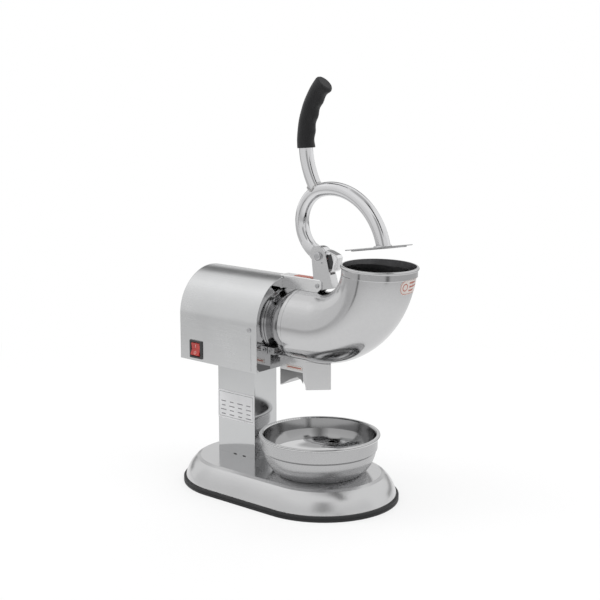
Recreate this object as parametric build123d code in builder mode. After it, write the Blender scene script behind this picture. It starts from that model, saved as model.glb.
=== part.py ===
from build123d import *
import math
import os

# Countertop ice shaver with a hand press lever. Millimetres.
# +X points to the front, where the feed mouth and the bowl are, and +Z is up.
# The origin is the bottom centre of the box round the whole machine.

# ---------------------------------------------------------------- driving dimensions

base_x = -21.14             # centre of the base
base_length = 340.4
base_width = 212.4
base_top = 37.7
base_wall = 3.0
trim_height = 7.0

axis_z = 243.7              # height of the motor shaft
pivot_x = base_x + 60.0     # lever pivot, which is also the centre of the feed bend
pivot_z = 343.5
bend_radius = pivot_z - axis_z

column_x = base_x - 81.2
column_depth = 72.7
column_width = 47.7
column_sheet = 1.5

housing_rear = base_x - 151.7
housing_front = base_x - 2.0
housing_radius = 65.1
housing_bottom = 179.1
shroud_sheet = 1.3
floor_sheet = 1.5

plate_front = base_x - 4.5   # front face of the mirror plate
plate_sheet = 2.0

elbow_outer = 49.8
elbow_wall = 2.1
elbow_waist = 1.6            # how much slimmer the bend is half way round
mouth_angle = -1.6
mouth_inner = 48.9
flange_radius = 47.5
flange_rear = plate_front + 0.6
flange_front = flange_rear + 3.0
shoulder_radius = 36.8
shoulder_end = base_x + 27.0

chute_bottom = 157.5
chute_top = 202.5
chute_rear = base_x + 4.6
chute_corner = base_x + 54.0
chute_half = 23.7
chute_wall = 2.5

bracket_half = 9.0
bracket_sheet = 2.0
fork_half = 6.9
fork_sheet = 1.9
lug_half = 4.6

tube_radius = 9.5
grip_radius = 12.4

disc_radius = 44.6
disc_path = 100.3            # distance of the pusher disc from the pivot
disc_angle = 11.9            # polar angle of the disc about the pivot, at rest
disc_tilt = 8.0              # how far the disc leans back, at rest

bowl_x = base_x + 57.3
bowl_rim_radius = 85.0
bowl_rim_top = 92.4
bowl_gap = 0.2               # play between the bowl's foot and the base

shaft_axis = Axis((0, 0, axis_z), (1, 0, 0))


# ---------------------------------------------------------------- shared helpers

def across(x, y=0.0, z=axis_z):
    """Plane square to the shaft, facing the front; local x runs to +Y and local y runs up."""
    return Plane(origin=(x, y, z), x_dir=(0, 1, 0), z_dir=(1, 0, 0))


def behind(x, y=0.0, z=axis_z):
    """Plane square to the shaft, facing the rear; local x runs to -Y and local y runs up."""
    return Plane(origin=(x, y, z), x_dir=(0, -1, 0), z_dir=(-1, 0, 0))


def upright(x=0.0, y=0.0, z=0.0):
    """Plane facing the near side; local x runs to the front and local y runs up."""
    return Plane(origin=(x, y, z), x_dir=(1, 0, 0), z_dir=(0, -1, 0))


def around_pivot(angle, radius):
    """Plane square to a circle about the lever pivot, its local x pointing away from the pivot."""
    turn = math.radians(angle)
    centre = (pivot_x + radius * math.cos(turn), 0, pivot_z + radius * math.sin(turn))
    outward = (math.cos(turn), 0, math.sin(turn))
    return Plane(origin=centre, x_dir=outward, z_dir=(-math.sin(turn), 0, math.cos(turn)))


def arch(radius, bottom):
    """Tunnel outline about the shaft: a half circle on straight sides down to a flat bottom."""
    drop = bottom - axis_z
    with BuildSketch() as outline:
        with BuildLine():
            Polyline((-radius, 0), (-radius, drop), (radius, drop), (radius, 0))
            ThreePointArc((radius, 0), (0, radius), (-radius, 0))
        make_face()
    return outline.sketch_local


def turned(*outline, mode=Mode.ADD):
    """Solid of revolution about the shaft from (x, radius) corners."""
    with BuildSketch(upright(z=axis_z)) as profile:
        with BuildLine():
            Polyline(*outline, close=True)
        make_face()
    revolve(profile.sketch, axis=shaft_axis, mode=mode)


def bolt(plane, spots, head_radius, head_height, shank_radius, shank_length, hexagonal=False):
    """Bolts whose heads stand on a plane and whose shanks go down through it."""
    with BuildSketch(plane) as heads:
        with Locations(*spots):
            if hexagonal:
                RegularPolygon(head_radius, 6)
            else:
                Circle(head_radius)
    extrude(heads.sketch, amount=head_height)
    with BuildSketch(plane) as shanks:
        with Locations(*spots):
            Circle(shank_radius)
    extrude(shanks.sketch, amount=-shank_length)


parts = {}


def keep(builder, name):
    """Label a finished piece and list it for export."""
    builder.part.label = name
    parts[name] = builder.part


# ---------------------------------------------------------------- base

base_reach = (base_length - base_width) / 2
trim_lip = 3.5
trim_seat = 2.5
shoulder_crease = (20.0, 35.4)   # how far in and how high the shoulder turns into the top
shoulder_top = 25.0


def base_section(wall):
    """Half section of the base, from its middle line out to the sloping shoulder."""
    low = base_width / 2 - wall - trim_lip
    high = base_width / 2 - wall - shoulder_top
    crease = base_width / 2 - shoulder_crease[0]
    top = base_top - wall
    with BuildSketch() as section:
        with BuildLine():
            Polyline((0, trim_seat), (low, trim_seat), (low, trim_height + 1.5))
            ThreePointArc((low, trim_height + 1.5), (low - 6.4, 24.0 - wall / 2),
                          (crease - wall / 2, shoulder_crease[1] - wall))
            Polyline((crease - wall / 2, shoulder_crease[1] - wall), (high, top), (0, top), (0, trim_seat))
        make_face()
    return section.sketch_local


def base_body(wall, mode=Mode.ADD):
    """Half sections turned about both end centres and run straight between them."""
    section = base_section(wall)
    for x in (base_x - base_reach, base_x + base_reach):
        revolve(upright(x) * section, axis=Axis((x, 0, 0), (0, 0, 1)), mode=mode)
    with BuildSketch(across(base_x - base_reach, z=0)) as whole:
        add(section)
        mirror(about=Plane.YZ)
    extrude(whole.sketch, amount=2 * base_reach, mode=mode)


foot_bolt_spots = [(column_x + dx, dy) for dx in (-24, 24) for dy in (-14, 14)]
cover_screw_spots = [(base_x + dx, dy) for dx in (-100, 0, 100) for dy in (-70, 70)]
boss_radius = 6.0
cover_z = 4.0
cover_sheet = 1.2

with BuildPart() as base_shell:
    base_body(0)
    base_body(base_wall, mode=Mode.SUBTRACT)
    with BuildSketch(Plane.XY.offset(cover_z + cover_sheet)):
        with Locations(*cover_screw_spots):
            Circle(boss_radius)
            Circle(1.6, mode=Mode.SUBTRACT)
    extrude(until=Until.NEXT)
    with BuildSketch(Plane.XY.offset(base_top)):
        with Locations(*foot_bolt_spots):
            Circle(4.2)
    extrude(amount=-2 * base_wall, mode=Mode.SUBTRACT)
keep(base_shell, "base_shell")

with BuildPart() as base_edge_trim:
    with BuildSketch():
        with Locations((base_x, 0)):
            SlotOverall(base_length, base_width)
            SlotOverall(base_length - 20, base_width - 20, mode=Mode.SUBTRACT)
    extrude(amount=trim_height)
    with BuildSketch(Plane.XY.offset(trim_seat)):
        with Locations((base_x, 0)):
            SlotOverall(base_length - 2 * trim_lip, base_width - 2 * trim_lip)
            seat_inner = 2 * (trim_lip + base_wall)
            SlotOverall(base_length - seat_inner, base_width - seat_inner, mode=Mode.SUBTRACT)
    extrude(amount=trim_height, mode=Mode.SUBTRACT)
    with BuildSketch(Plane.XY.offset(3.4)):
        with Locations((base_x, 0)):
            SlotOverall(base_length + 2, base_width + 2)
            SlotOverall(base_length - 1.2, base_width - 1.2, mode=Mode.SUBTRACT)
    extrude(amount=0.8, mode=Mode.SUBTRACT)
    outer_rims = base_edge_trim.edges().filter_by_position(Axis.Z, trim_height, trim_height)
    chamfer(outer_rims.sort_by(lambda edge: edge.length)[-2:], 0.8)
keep(base_edge_trim, "base_edge_trim")

with BuildPart() as base_bottom_cover:
    with BuildSketch(Plane.XY.offset(cover_z)):
        with Locations((base_x, 0)):
            SlotOverall(base_length - 20.6, base_width - 20.6)
        with Locations(*cover_screw_spots):
            Circle(1.8, mode=Mode.SUBTRACT)
        with Locations((base_x - 60, 0), (base_x + 60, 0)):
            with GridLocations(0, 14, 1, 5):
                SlotOverall(44, 4, mode=Mode.SUBTRACT)
    extrude(amount=cover_sheet)
keep(base_bottom_cover, "base_bottom_cover")

with BuildPart() as cover_screws:
    bolt(Plane.XY.offset(cover_z).rotated((180, 0, 0)), [(x, -y) for x, y in cover_screw_spots],
         3.2, 1.8, 1.5, 9.0)
    with BuildSketch(Plane.XY.offset(cover_z - 1.8)):
        with Locations(*cover_screw_spots):
            Rectangle(3.8, 0.8)
            Rectangle(0.8, 3.8)
    extrude(amount=1.0, mode=Mode.SUBTRACT)
keep(cover_screws, "cover_screws")

# ---------------------------------------------------------------- column

foot_plate = 4.0
column_inside = (column_depth - 2 * column_sheet, column_width - 2 * column_sheet)

with BuildPart() as column:
    with BuildSketch(Plane.XY.offset(base_top)):
        with Locations((column_x, 0)):
            RectangleRounded(column_depth, column_width, 1.2)
            Rectangle(*column_inside, mode=Mode.SUBTRACT)
    extrude(amount=housing_bottom - base_top)
keep(column, "column")


def column_plate(z):
    """Thick plate welded inside one end of the column, drilled for four bolts."""
    with BuildSketch(Plane.XY.offset(z)) as plate:
        with Locations((column_x, 0)):
            Rectangle(*column_inside)
        with Locations(*foot_bolt_spots):
            Circle(4.0, mode=Mode.SUBTRACT)
    extrude(plate.sketch, amount=foot_plate)


with BuildPart() as column_foot_plate:
    column_plate(base_top)
keep(column_foot_plate, "column_foot_plate")

with BuildPart() as column_head_plate:
    column_plate(housing_bottom - foot_plate)
keep(column_head_plate, "column_head_plate")

with BuildPart() as column_foot_bolts:
    bolt(Plane.XY.offset(base_top - base_wall).rotated((180, 0, 0)),
         [(x, -y) for x, y in foot_bolt_spots], 7.5, 5.3, 4.0, 14.0, hexagonal=True)
keep(column_foot_bolts, "column_foot_bolts")

with BuildPart() as column_head_bolts:
    bolt(Plane.XY.offset(housing_bottom + floor_sheet), foot_bolt_spots, 7.5, 5.3, 4.0, 12.0,
         hexagonal=True)
keep(column_head_bolts, "column_head_bolts")

# ---------------------------------------------------------------- motor housing

shroud_inner = housing_radius - shroud_sheet
side_screw = (base_x - 15.8, 238.6)
switch_centre = (base_x - 119.6, 196.1)
switch_width = 25.5
switch_height = 26.4
seam_x = base_x - 12.7
rear_flange = 6.0
panel_sheet = 1.5
panel_rear = housing_rear + shroud_sheet
gland_spot = (38.0, -42.0)
panel_screw_turns = (20, 75, 105, 160)
panel_screw_radius = shroud_inner - 3.2
panel_screw_spots = [(panel_screw_radius * math.cos(math.radians(turn)),
                      panel_screw_radius * math.sin(math.radians(turn))) for turn in panel_screw_turns]

with BuildPart() as housing_shroud:
    with BuildSketch(across(housing_rear)):
        add(arch(housing_radius, housing_bottom))
        add(arch(shroud_inner, housing_bottom), mode=Mode.SUBTRACT)
    extrude(amount=housing_front - housing_rear)
    with BuildSketch(across(housing_rear)):
        add(arch(shroud_inner, housing_bottom))
        add(arch(shroud_inner - rear_flange, housing_bottom), mode=Mode.SUBTRACT)
        with Locations(*panel_screw_spots):
            Circle(1.6, mode=Mode.SUBTRACT)
    extrude(amount=shroud_sheet)
    with Locations((switch_centre[0], -housing_radius, switch_centre[1])):
        Box(switch_width - 3.5, 6, switch_height - 3.5, mode=Mode.SUBTRACT)
    with BuildSketch(Plane.XZ):
        with Locations(side_screw):
            Circle(2.0)
    extrude(amount=2 * housing_radius, both=True, mode=Mode.SUBTRACT)
    for side in (-1, 1):
        with Locations((seam_x, side * housing_radius, 206.5)):
            Box(0.7, 1.0, 50, mode=Mode.SUBTRACT)
keep(housing_shroud, "housing_shroud")

with BuildPart() as housing_floor:
    floor_half = shroud_inner - 0.1
    floor_rear = panel_rear + panel_sheet
    floor_front = plate_front - plate_sheet
    floor_middle = (floor_rear + floor_front) / 2
    rim_rear = base_x - 102.0
    with BuildSketch(Plane.XY.offset(housing_bottom)):
        with Locations((floor_middle, 0)):
            Rectangle(floor_front - floor_rear, 2 * floor_half)
        with Locations(*foot_bolt_spots):
            Circle(4.2, mode=Mode.SUBTRACT)
        for x in (base_x - 132, base_x - 28):
            with Locations((x, 0)):
                with GridLocations(0, 12, 1, 5):
                    SlotOverall(16, 4, mode=Mode.SUBTRACT)
    extrude(amount=floor_sheet)
    with BuildSketch(Plane.XY.offset(housing_bottom + floor_sheet)):
        with Locations(((rim_rear + floor_front) / 2, 0)):
            with GridLocations(0, 2 * floor_half - floor_sheet, 1, 2):
                Rectangle(floor_front - rim_rear, floor_sheet)
    extrude(amount=12)
keep(housing_floor, "housing_floor")

with BuildPart() as housing_rear_panel:
    with BuildSketch(across(panel_rear)):
        add(arch(shroud_inner - 0.1, housing_bottom))
        with GridLocations(0, 10, 1, 7):
            SlotOverall(62, 4.2, mode=Mode.SUBTRACT)
        with Locations(gland_spot):
            Circle(6.1, mode=Mode.SUBTRACT)
        with Locations(*panel_screw_spots):
            Circle(1.6, mode=Mode.SUBTRACT)
    extrude(amount=panel_sheet)
keep(housing_rear_panel, "housing_rear_panel")

with BuildPart() as rear_panel_screws:
    bolt(behind(housing_rear), [(-y, z) for y, z in panel_screw_spots],
         2.7, 1.5, 1.5, 7.0)
    with BuildSketch(behind(housing_rear - 1.5)):
        with Locations(*[(-y, z) for y, z in panel_screw_spots]):
            Rectangle(3.6, 0.8)
            Rectangle(0.8, 3.6)
    extrude(amount=-0.9, mode=Mode.SUBTRACT)
keep(rear_panel_screws, "rear_panel_screws")

with BuildPart() as shroud_screws:
    for side in (-1, 1):
        face = Plane(origin=(0, side * housing_radius, 0), x_dir=(-side, 0, 0), z_dir=(0, side, 0))
        bolt(face, [(-side * side_screw[0], side_screw[1])], 3.4, 1.9, 2.0, 5.0)
    heads = shroud_screws.edges().filter_by_position(Axis.Y, -housing_radius - 2, -housing_radius - 1.8)
    heads += shroud_screws.edges().filter_by_position(Axis.Y, housing_radius + 1.8, housing_radius + 2)
    fillet(heads, 1.2)
keep(shroud_screws, "shroud_screws")

with BuildPart() as cord_gland:
    gland_y, gland_up = gland_spot
    gland_z = axis_z + gland_up
    gland_line = Axis((0, gland_y, gland_z), (1, 0, 0))
    with BuildSketch(across(housing_rear - 4.0, gland_y, gland_z)):
        RegularPolygon(9.5, 6)
    extrude(amount=4.0 + shroud_sheet)
    with BuildSketch(upright(y=gland_y, z=gland_z)):
        with BuildLine():
            Polyline((housing_rear - 15.0, 0), (housing_rear - 15.0, 5.0), (housing_rear - 12.5, 7.0),
                     (housing_rear - 4.0, 8.0), (housing_rear - 4.0, 0), close=True)
        make_face()
    revolve(axis=gland_line)
    with BuildSketch(across(panel_rear, gland_y, gland_z)):
        Circle(6.0)
    extrude(amount=12.0)
    with BuildSketch(across(panel_rear + panel_sheet, gland_y, gland_z)):
        RegularPolygon(9.0, 6)
    extrude(amount=3.5)
    with BuildSketch(across(housing_rear - 20, gland_y, gland_z)):
        Circle(3.6)
    extrude(amount=50, mode=Mode.SUBTRACT)
keep(cord_gland, "cord_gland")

with BuildPart() as front_plate:
    with BuildSketch(across(plate_front - plate_sheet)):
        add(arch(shroud_inner - 0.1, housing_bottom + 1.2))
        Circle(14.0, mode=Mode.SUBTRACT)
    extrude(amount=plate_sheet)
keep(front_plate, "front_plate")

# ---------------------------------------------------------------- rocker switch

rocker_pivot_y = -(housing_radius - 2.0)
rocker_width = 16.2
rocker_reach = 10.0          # radius of the rocker's rounded ends about its pivot
rocker_pin = 1.2
bezel_inside = (16.8, 20.6)
bezel_body = (switch_width - 4.0, switch_height - 4.0)
bezel_depth = 11.0

with BuildPart() as switch_bezel:
    with BuildSketch(upright(y=-housing_radius)):
        with Locations(switch_centre):
            RectangleRounded(switch_width, switch_height, 1.5)
    extrude(amount=1.8)
    front_edges = switch_bezel.faces().sort_by(Axis.Y)[0].edges()
    chamfer(front_edges, 0.7)
    with BuildSketch(upright(y=-housing_radius)):
        with Locations(switch_centre):
            Rectangle(*bezel_body)
    extrude(amount=-bezel_depth - 6)
    with BuildSketch(upright(y=-housing_radius - 1.8)):
        with Locations(switch_centre):
            Rectangle(*bezel_inside)
    extrude(amount=-bezel_depth - 1.8, mode=Mode.SUBTRACT)
    with BuildSketch(upright(y=-housing_radius + bezel_depth + 6)):
        with Locations(switch_centre):
            with GridLocations(0, 8, 1, 2):
                Rectangle(6.3, 0.8)
    extrude(amount=-8)
    with BuildSketch(Plane.YZ.offset(switch_centre[0])):
        with Locations((rocker_pivot_y, switch_centre[1])):
            Circle(rocker_pin + 0.05)
    extrude(amount=bezel_body[0] / 2 - 0.6, both=True, mode=Mode.SUBTRACT)
keep(switch_bezel, "switch_bezel")

with BuildPart() as switch_rocker:
    tip_out = 6.2                # how far the pressed-out end stands in front of the pivot
    tip_in = 3.9
    tip_height = math.sqrt(rocker_reach ** 2 - tip_out ** 2)
    dip_height = math.sqrt(rocker_reach ** 2 - tip_in ** 2)
    with BuildSketch(Plane(origin=(switch_centre[0], rocker_pivot_y, switch_centre[1]), x_dir=(0, 1, 0),
                           z_dir=(1, 0, 0))):
        with BuildLine():
            ThreePointArc((-tip_in, dip_height), (-1.8, math.sqrt(rocker_reach ** 2 - 1.8 ** 2)),
                          (0, rocker_reach))
            Polyline((0, rocker_reach), (3.0, 6.0), (3.0, -6.0), (0, -rocker_reach))
            ThreePointArc((0, -rocker_reach), (-3.2, -math.sqrt(rocker_reach ** 2 - 3.2 ** 2)),
                          (-tip_out, -tip_height))
            Polyline((-tip_out, -tip_height), (-3.2, -0.6), (-3.2, 0.6), (-tip_in, dip_height))
        make_face()
    extrude(amount=rocker_width / 2, both=True)
    with BuildSketch(Plane.YZ.offset(switch_centre[0])):
        with Locations((rocker_pivot_y, switch_centre[1])):
            Circle(rocker_pin)
    extrude(amount=bezel_inside[0] / 2 + 1.0, both=True)
keep(switch_rocker, "switch_rocker")

# ---------------------------------------------------------------- motor

motor_rear = base_x - 128
motor_front = base_x - 52
motor_radius = 48.0
core_rear = base_x - 112
core_front = base_x - 68
shaft_radius = 8.45
bore_radius = 8.5

with BuildPart() as stator_shell:
    with BuildSketch(across(motor_rear)):
        Circle(motor_radius)
        Circle(motor_radius - 2.0, mode=Mode.SUBTRACT)
    extrude(amount=motor_front - motor_rear)
keep(stator_shell, "stator_shell")

with BuildPart() as stator_core:
    with BuildSketch(across(core_rear)):
        Circle(motor_radius - 2.0)
        Circle(27.6, mode=Mode.SUBTRACT)
        with PolarLocations(34.0, 12):
            SlotOverall(12.0, 4.0, mode=Mode.SUBTRACT)
    extrude(amount=core_front - core_rear)
keep(stator_core, "stator_core")

with BuildPart() as stator_windings:
    for start in (core_rear - 10, core_front):
        turned((start, 29.0), (start, 39.0), (start + 2, 42.0), (start + 8, 42.0),
               (start + 10, 39.0), (start + 10, 29.0))
keep(stator_windings, "stator_windings")

with BuildPart() as motor_front_bell:
    turned((motor_front, 15.0), (motor_front, motor_radius), (motor_front + 4, motor_radius),
           (motor_front + 10, 38.0), (motor_front + 12, 22.0), (motor_front + 12, bore_radius),
           (motor_front + 10, bore_radius), (motor_front + 10, 15.0))
    with BuildSketch(across(motor_front)):
        with PolarLocations(31.0, 6):
            SlotOverall(10.0, 6.0)
    extrude(amount=14, mode=Mode.SUBTRACT)
keep(motor_front_bell, "motor_front_bell")

with BuildPart() as motor_rear_bell:
    turned((motor_rear, 15.0), (motor_rear, motor_radius), (motor_rear - 4, motor_radius),
           (motor_rear - 8, 38.0), (motor_rear - 10, 22.0), (motor_rear - 10, bore_radius),
           (motor_rear - 8, bore_radius), (motor_rear - 8, 15.0))
    with BuildSketch(across(motor_rear - 12)):
        with PolarLocations(31.0, 6):
            SlotOverall(10.0, 6.0)
    extrude(amount=14, mode=Mode.SUBTRACT)
keep(motor_rear_bell, "motor_rear_bell")

with BuildPart() as motor_bearings:
    for start in (motor_rear - 8, motor_front):
        turned((start, bore_radius), (start, 15.0), (start + 9, 15.0), (start + 9, bore_radius))
keep(motor_bearings, "motor_bearings")

with BuildPart() as motor_cradle:
    cradle_floor = housing_bottom + floor_sheet
    cradle_half = 31.0
    for x in (base_x - 96, base_x - 73):
        with BuildSketch(across(x)):
            with Locations((0, (cradle_floor - axis_z - 26) / 2)):
                Rectangle(2 * cradle_half, axis_z - cradle_floor - 26)
            Circle(motor_radius, mode=Mode.SUBTRACT)
        extrude(amount=3)
    with BuildSketch(Plane.XY.offset(cradle_floor)):
        with Locations((base_x - 83, 0)):
            with GridLocations(0, 2 * cradle_half - 9, 1, 2):
                Rectangle(26, 9)
    extrude(amount=2)
keep(motor_cradle, "motor_cradle")

with BuildPart() as run_capacitor:
    with BuildSketch(across(base_x - 108, 46, 198)):
        Circle(12)
    extrude(amount=52)
    fillet(run_capacitor.edges().filter_by(GeomType.CIRCLE), 1.5)
    with BuildSketch(across(base_x - 56, 46, 198)):
        with GridLocations(8, 0, 2, 1):
            Rectangle(0.8, 6)
    extrude(amount=8)
keep(run_capacitor, "run_capacitor")

with BuildPart() as capacitor_strap:
    with BuildSketch(across(base_x - 88, 46, 198)):
        Circle(13)
        with Locations((0, -11)):
            Rectangle(26, 12.8)
        Circle(12, mode=Mode.SUBTRACT)
    extrude(amount=10)
keep(capacitor_strap, "capacitor_strap")

# ---------------------------------------------------------------- shaft line

hub_front = base_x + 27.0
blade_front = hub_front + 4.0
blade_disc_radius = 46.2
thread_radius = 6.0

with BuildPart() as rotor_core:
    turned((core_rear, shaft_radius), (core_rear, 27.0), (core_front, 27.0), (core_front, shaft_radius))
keep(rotor_core, "rotor_core")

with BuildPart() as drive_shaft:
    turned((base_x - 147, 0), (base_x - 147, shaft_radius - 0.8), (base_x - 146.2, shaft_radius),
           (hub_front, shaft_radius), (hub_front, thread_radius), (base_x + 39, thread_radius),
           (base_x + 40, thread_radius - 1), (base_x + 40, 0))
keep(drive_shaft, "drive_shaft")

with BuildPart() as cooling_fan:
    with BuildSketch(across(base_x - 147)):
        Circle(16)
        Circle(shaft_radius, mode=Mode.SUBTRACT)
    extrude(amount=8)
    with BuildSketch(across(base_x - 147)):
        with PolarLocations(29, 8):
            Rectangle(28, 2, rotation=0)
    extrude(amount=7)
    with BuildSketch(across(base_x - 140)):
        Circle(43)
        Circle(shaft_radius, mode=Mode.SUBTRACT)
    extrude(amount=1.2)
keep(cooling_fan, "cooling_fan")

with BuildPart() as bearing_carrier:
    carrier_front = plate_front - plate_sheet
    turned((carrier_front, 11.0), (carrier_front, 36.0), (carrier_front - 6, 36.0),
           (carrier_front - 6, 25.0), (carrier_front - 16, 24.0), (carrier_front - 16, 20.0),
           (carrier_front - 2, 20.0), (carrier_front - 2, 11.0))
    with BuildSketch(across(carrier_front)):
        with PolarLocations(30.5, 4, start_angle=45):
            Circle(2.6)
    extrude(amount=-6, mode=Mode.SUBTRACT)
keep(bearing_carrier, "bearing_carrier")

with BuildPart() as front_bearing:
    turned((carrier_front - 14, bore_radius), (carrier_front - 14, 20.0), (carrier_front - 2, 20.0),
           (carrier_front - 2, bore_radius))
    with BuildSketch(across(carrier_front - 14)):
        Circle(16.5)
        Circle(12.0, mode=Mode.SUBTRACT)
    extrude(amount=0.8, mode=Mode.SUBTRACT)
keep(front_bearing, "front_bearing")

with BuildPart() as shaft_seal:
    turned((carrier_front, 8.8), (carrier_front, 14.0), (plate_front + 1.2, 14.0),
           (plate_front + 1.2, 11.0), (plate_front - 0.4, 8.8))
keep(shaft_seal, "shaft_seal")

with BuildPart() as thrower_hub:
    thrower_rear = base_x - 1.5
    turned((thrower_rear, shaft_radius), (thrower_rear, 14.0), (base_x + 3, 17.0),
           (hub_front, 17.0), (hub_front, shaft_radius))
    with BuildSketch(across(base_x + 5)):
        with PolarLocations(24, 3, start_angle=30):
            Rectangle(20, 4)
    extrude(amount=hub_front - base_x - 5)
keep(thrower_hub, "thrower_hub")

blade_turns = (0, 120, 240)
blade_offset = 7.0           # how far each blade stands from the middle line of the disc
blade_length = 27.0
blade_middle = 28.0


blade_screw_spots = []
for turn in blade_turns:
    spin = math.radians(turn)
    for along in (blade_middle - 8, blade_middle + 8):
        blade_screw_spots.append((along * math.cos(spin) - blade_offset * math.sin(spin),
                                  along * math.sin(spin) + blade_offset * math.cos(spin)))

with BuildPart() as blade_disc:
    with BuildSketch(across(hub_front)):
        Circle(blade_disc_radius)
        Circle(thread_radius, mode=Mode.SUBTRACT)
        with PolarLocations(0, 3):
            with Locations((blade_middle, 0)):
                SlotOverall(blade_length + 4, 5.5, mode=Mode.SUBTRACT)
        with Locations(*blade_screw_spots):
            Circle(1.6, mode=Mode.SUBTRACT)
    extrude(amount=blade_front - hub_front)
keep(blade_disc, "blade_disc")

with BuildPart() as blades:
    with BuildSketch(across(blade_front)):
        with PolarLocations(0, 3):
            with Locations((blade_middle, blade_offset)):
                Rectangle(blade_length, 9.0)
        with Locations(*blade_screw_spots):
            Circle(1.6, mode=Mode.SUBTRACT)
    extrude(amount=2.4)
    top_edges = blades.edges().filter_by_position(Axis.X, blade_front + 2.39, blade_front + 2.41)
    chamfer(top_edges.filter_by(lambda edge: edge.length > 20), 1.2)
keep(blades, "blades")

with BuildPart() as blade_screws:
    bolt(across(blade_front + 2.4), blade_screw_spots, 2.6, 1.3, 1.4, 6.0)
keep(blade_screws, "blade_screws")

with BuildPart() as hub_nut:
    nut_front = blade_front + 7
    with BuildSketch(across(blade_front)):
        RegularPolygon(11.0, 6)
        Circle(thread_radius, mode=Mode.SUBTRACT)
    extrude(amount=nut_front - blade_front)
    with BuildSketch(across(nut_front)):
        Circle(8.6)
    extrude(amount=6.5)
    fillet(hub_nut.faces().sort_by(Axis.X)[-1].edges(), 5.0)
    with BuildSketch(across(nut_front)):
        Circle(thread_radius)
    extrude(amount=base_x + 40.2 - nut_front, mode=Mode.SUBTRACT)
keep(hub_nut, "hub_nut")

# ---------------------------------------------------------------- feed elbow

bend_end = -90.0
bend_steps = 8
boss_rear = base_x + 10.0
boss_front = base_x + 56.0
boss_half = 22.5
outlet_rear = base_x + 8.0
outlet_front = base_x + 26.0
outlet_half = 17.0
lug_reach = 40.0
lug_bottom = 203.0
lug_top = 212.5
lug_front = base_x + 8.0
lug_screw = (base_x + 1.3, 208.2)
flange_screw_spots = [(sy * 27.3, sz * 33.6) for sy in (-1, 1) for sz in (-1, 1)]
mouth_plane = around_pivot(mouth_angle, bend_radius + 0.4)
mouth_axis = Axis(mouth_plane.origin, mouth_plane.z_dir)
mouth_section = Plane(origin=mouth_plane.origin, x_dir=mouth_plane.x_dir, z_dir=(0, -1, 0))


def bend(wall, mode=Mode.ADD):
    """Quarter bend through circles about the pivot, a little slimmer half way round."""
    sections = []
    for step in range(bend_steps + 1):
        share = step / bend_steps
        slim = math.sin(math.pi * share)
        angle = mouth_angle + (bend_end - mouth_angle) * share
        with BuildSketch(around_pivot(angle, bend_radius - 0.4 * slim)) as section:
            Circle(elbow_outer - elbow_waist * slim - wall)
        sections.append(section.sketch)
    loft(sections, mode=mode)


def barrel(wall, rear, mode=Mode.ADD):
    """Straight run from the bend back to the shoulder, which narrows to the flange."""
    full = elbow_outer - wall
    with BuildSketch(upright(z=axis_z)) as profile:
        with BuildLine():
            Line((rear, shoulder_radius - wall), (flange_front, shoulder_radius - wall))
            ThreePointArc((flange_front, shoulder_radius - wall), (flange_front + 8, 43.9 - wall),
                          (shoulder_end, full))
            Polyline((shoulder_end, full), (pivot_x, full), (pivot_x, 0), (rear, 0),
                     (rear, shoulder_radius - wall))
        make_face()
    revolve(profile.sketch, axis=shaft_axis, mode=mode)


with BuildPart() as feed_elbow:
    bend(0)
    barrel(0, flange_rear)
    with BuildSketch(across(flange_rear)):
        Circle(flange_radius)
    extrude(amount=flange_front - flange_rear)
    with Locations(((boss_rear + boss_front) / 2, 0, (chute_top + axis_z) / 2)):
        Box(boss_front - boss_rear, 2 * boss_half, axis_z - chute_top)
    with Locations(((flange_rear + lug_front) / 2, 0, (lug_bottom + lug_top) / 2)):
        Box(lug_front - flange_rear, 2 * lug_reach, lug_top - lug_bottom)
    with BuildSketch(mouth_section):
        with BuildLine():
            Polyline((elbow_outer - 4, -13), (elbow_outer + 0.2, -13), (elbow_outer + 0.9, -12),
                     (elbow_outer + 0.9, -4.6), (elbow_outer + 1.4, -4.2))
            ThreePointArc((elbow_outer + 1.4, -4.2), (52.4, -2.1), (elbow_outer + 1.2, 0))
            Polyline((elbow_outer + 1.2, 0), (elbow_outer - 4, 0), (elbow_outer - 4, -13))
        make_face()
    revolve(axis=mouth_axis)
    bend(elbow_wall, mode=Mode.SUBTRACT)
    barrel(elbow_wall, flange_rear, mode=Mode.SUBTRACT)
    with BuildSketch(mouth_section):
        with BuildLine():
            Polyline((0, 0.5), (mouth_inner + 0.4, 0.5), (mouth_inner, -2), (elbow_outer - elbow_wall, -9),
                     (0, -9), close=True)
        make_face()
    revolve(axis=mouth_axis, mode=Mode.SUBTRACT)
    with Locations(((outlet_rear + outlet_front) / 2, 0, (chute_top - 10 + axis_z) / 2)):
        Box(outlet_front - outlet_rear, 2 * outlet_half, axis_z - chute_top + 10, mode=Mode.SUBTRACT)
    with BuildSketch(across(flange_rear)):
        with Locations(*flange_screw_spots):
            Circle(2.0)
    extrude(amount=flange_front - flange_rear, mode=Mode.SUBTRACT)
keep(feed_elbow, "feed_elbow")

with BuildPart() as flange_gasket:
    with BuildSketch(across(plate_front)):
        Circle(flange_radius - 0.3)
        Circle(shoulder_radius - elbow_wall + 0.3, mode=Mode.SUBTRACT)
        with Locations(*flange_screw_spots):
            Circle(2.0, mode=Mode.SUBTRACT)
    extrude(amount=flange_rear - plate_front)
keep(flange_gasket, "flange_gasket")

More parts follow.
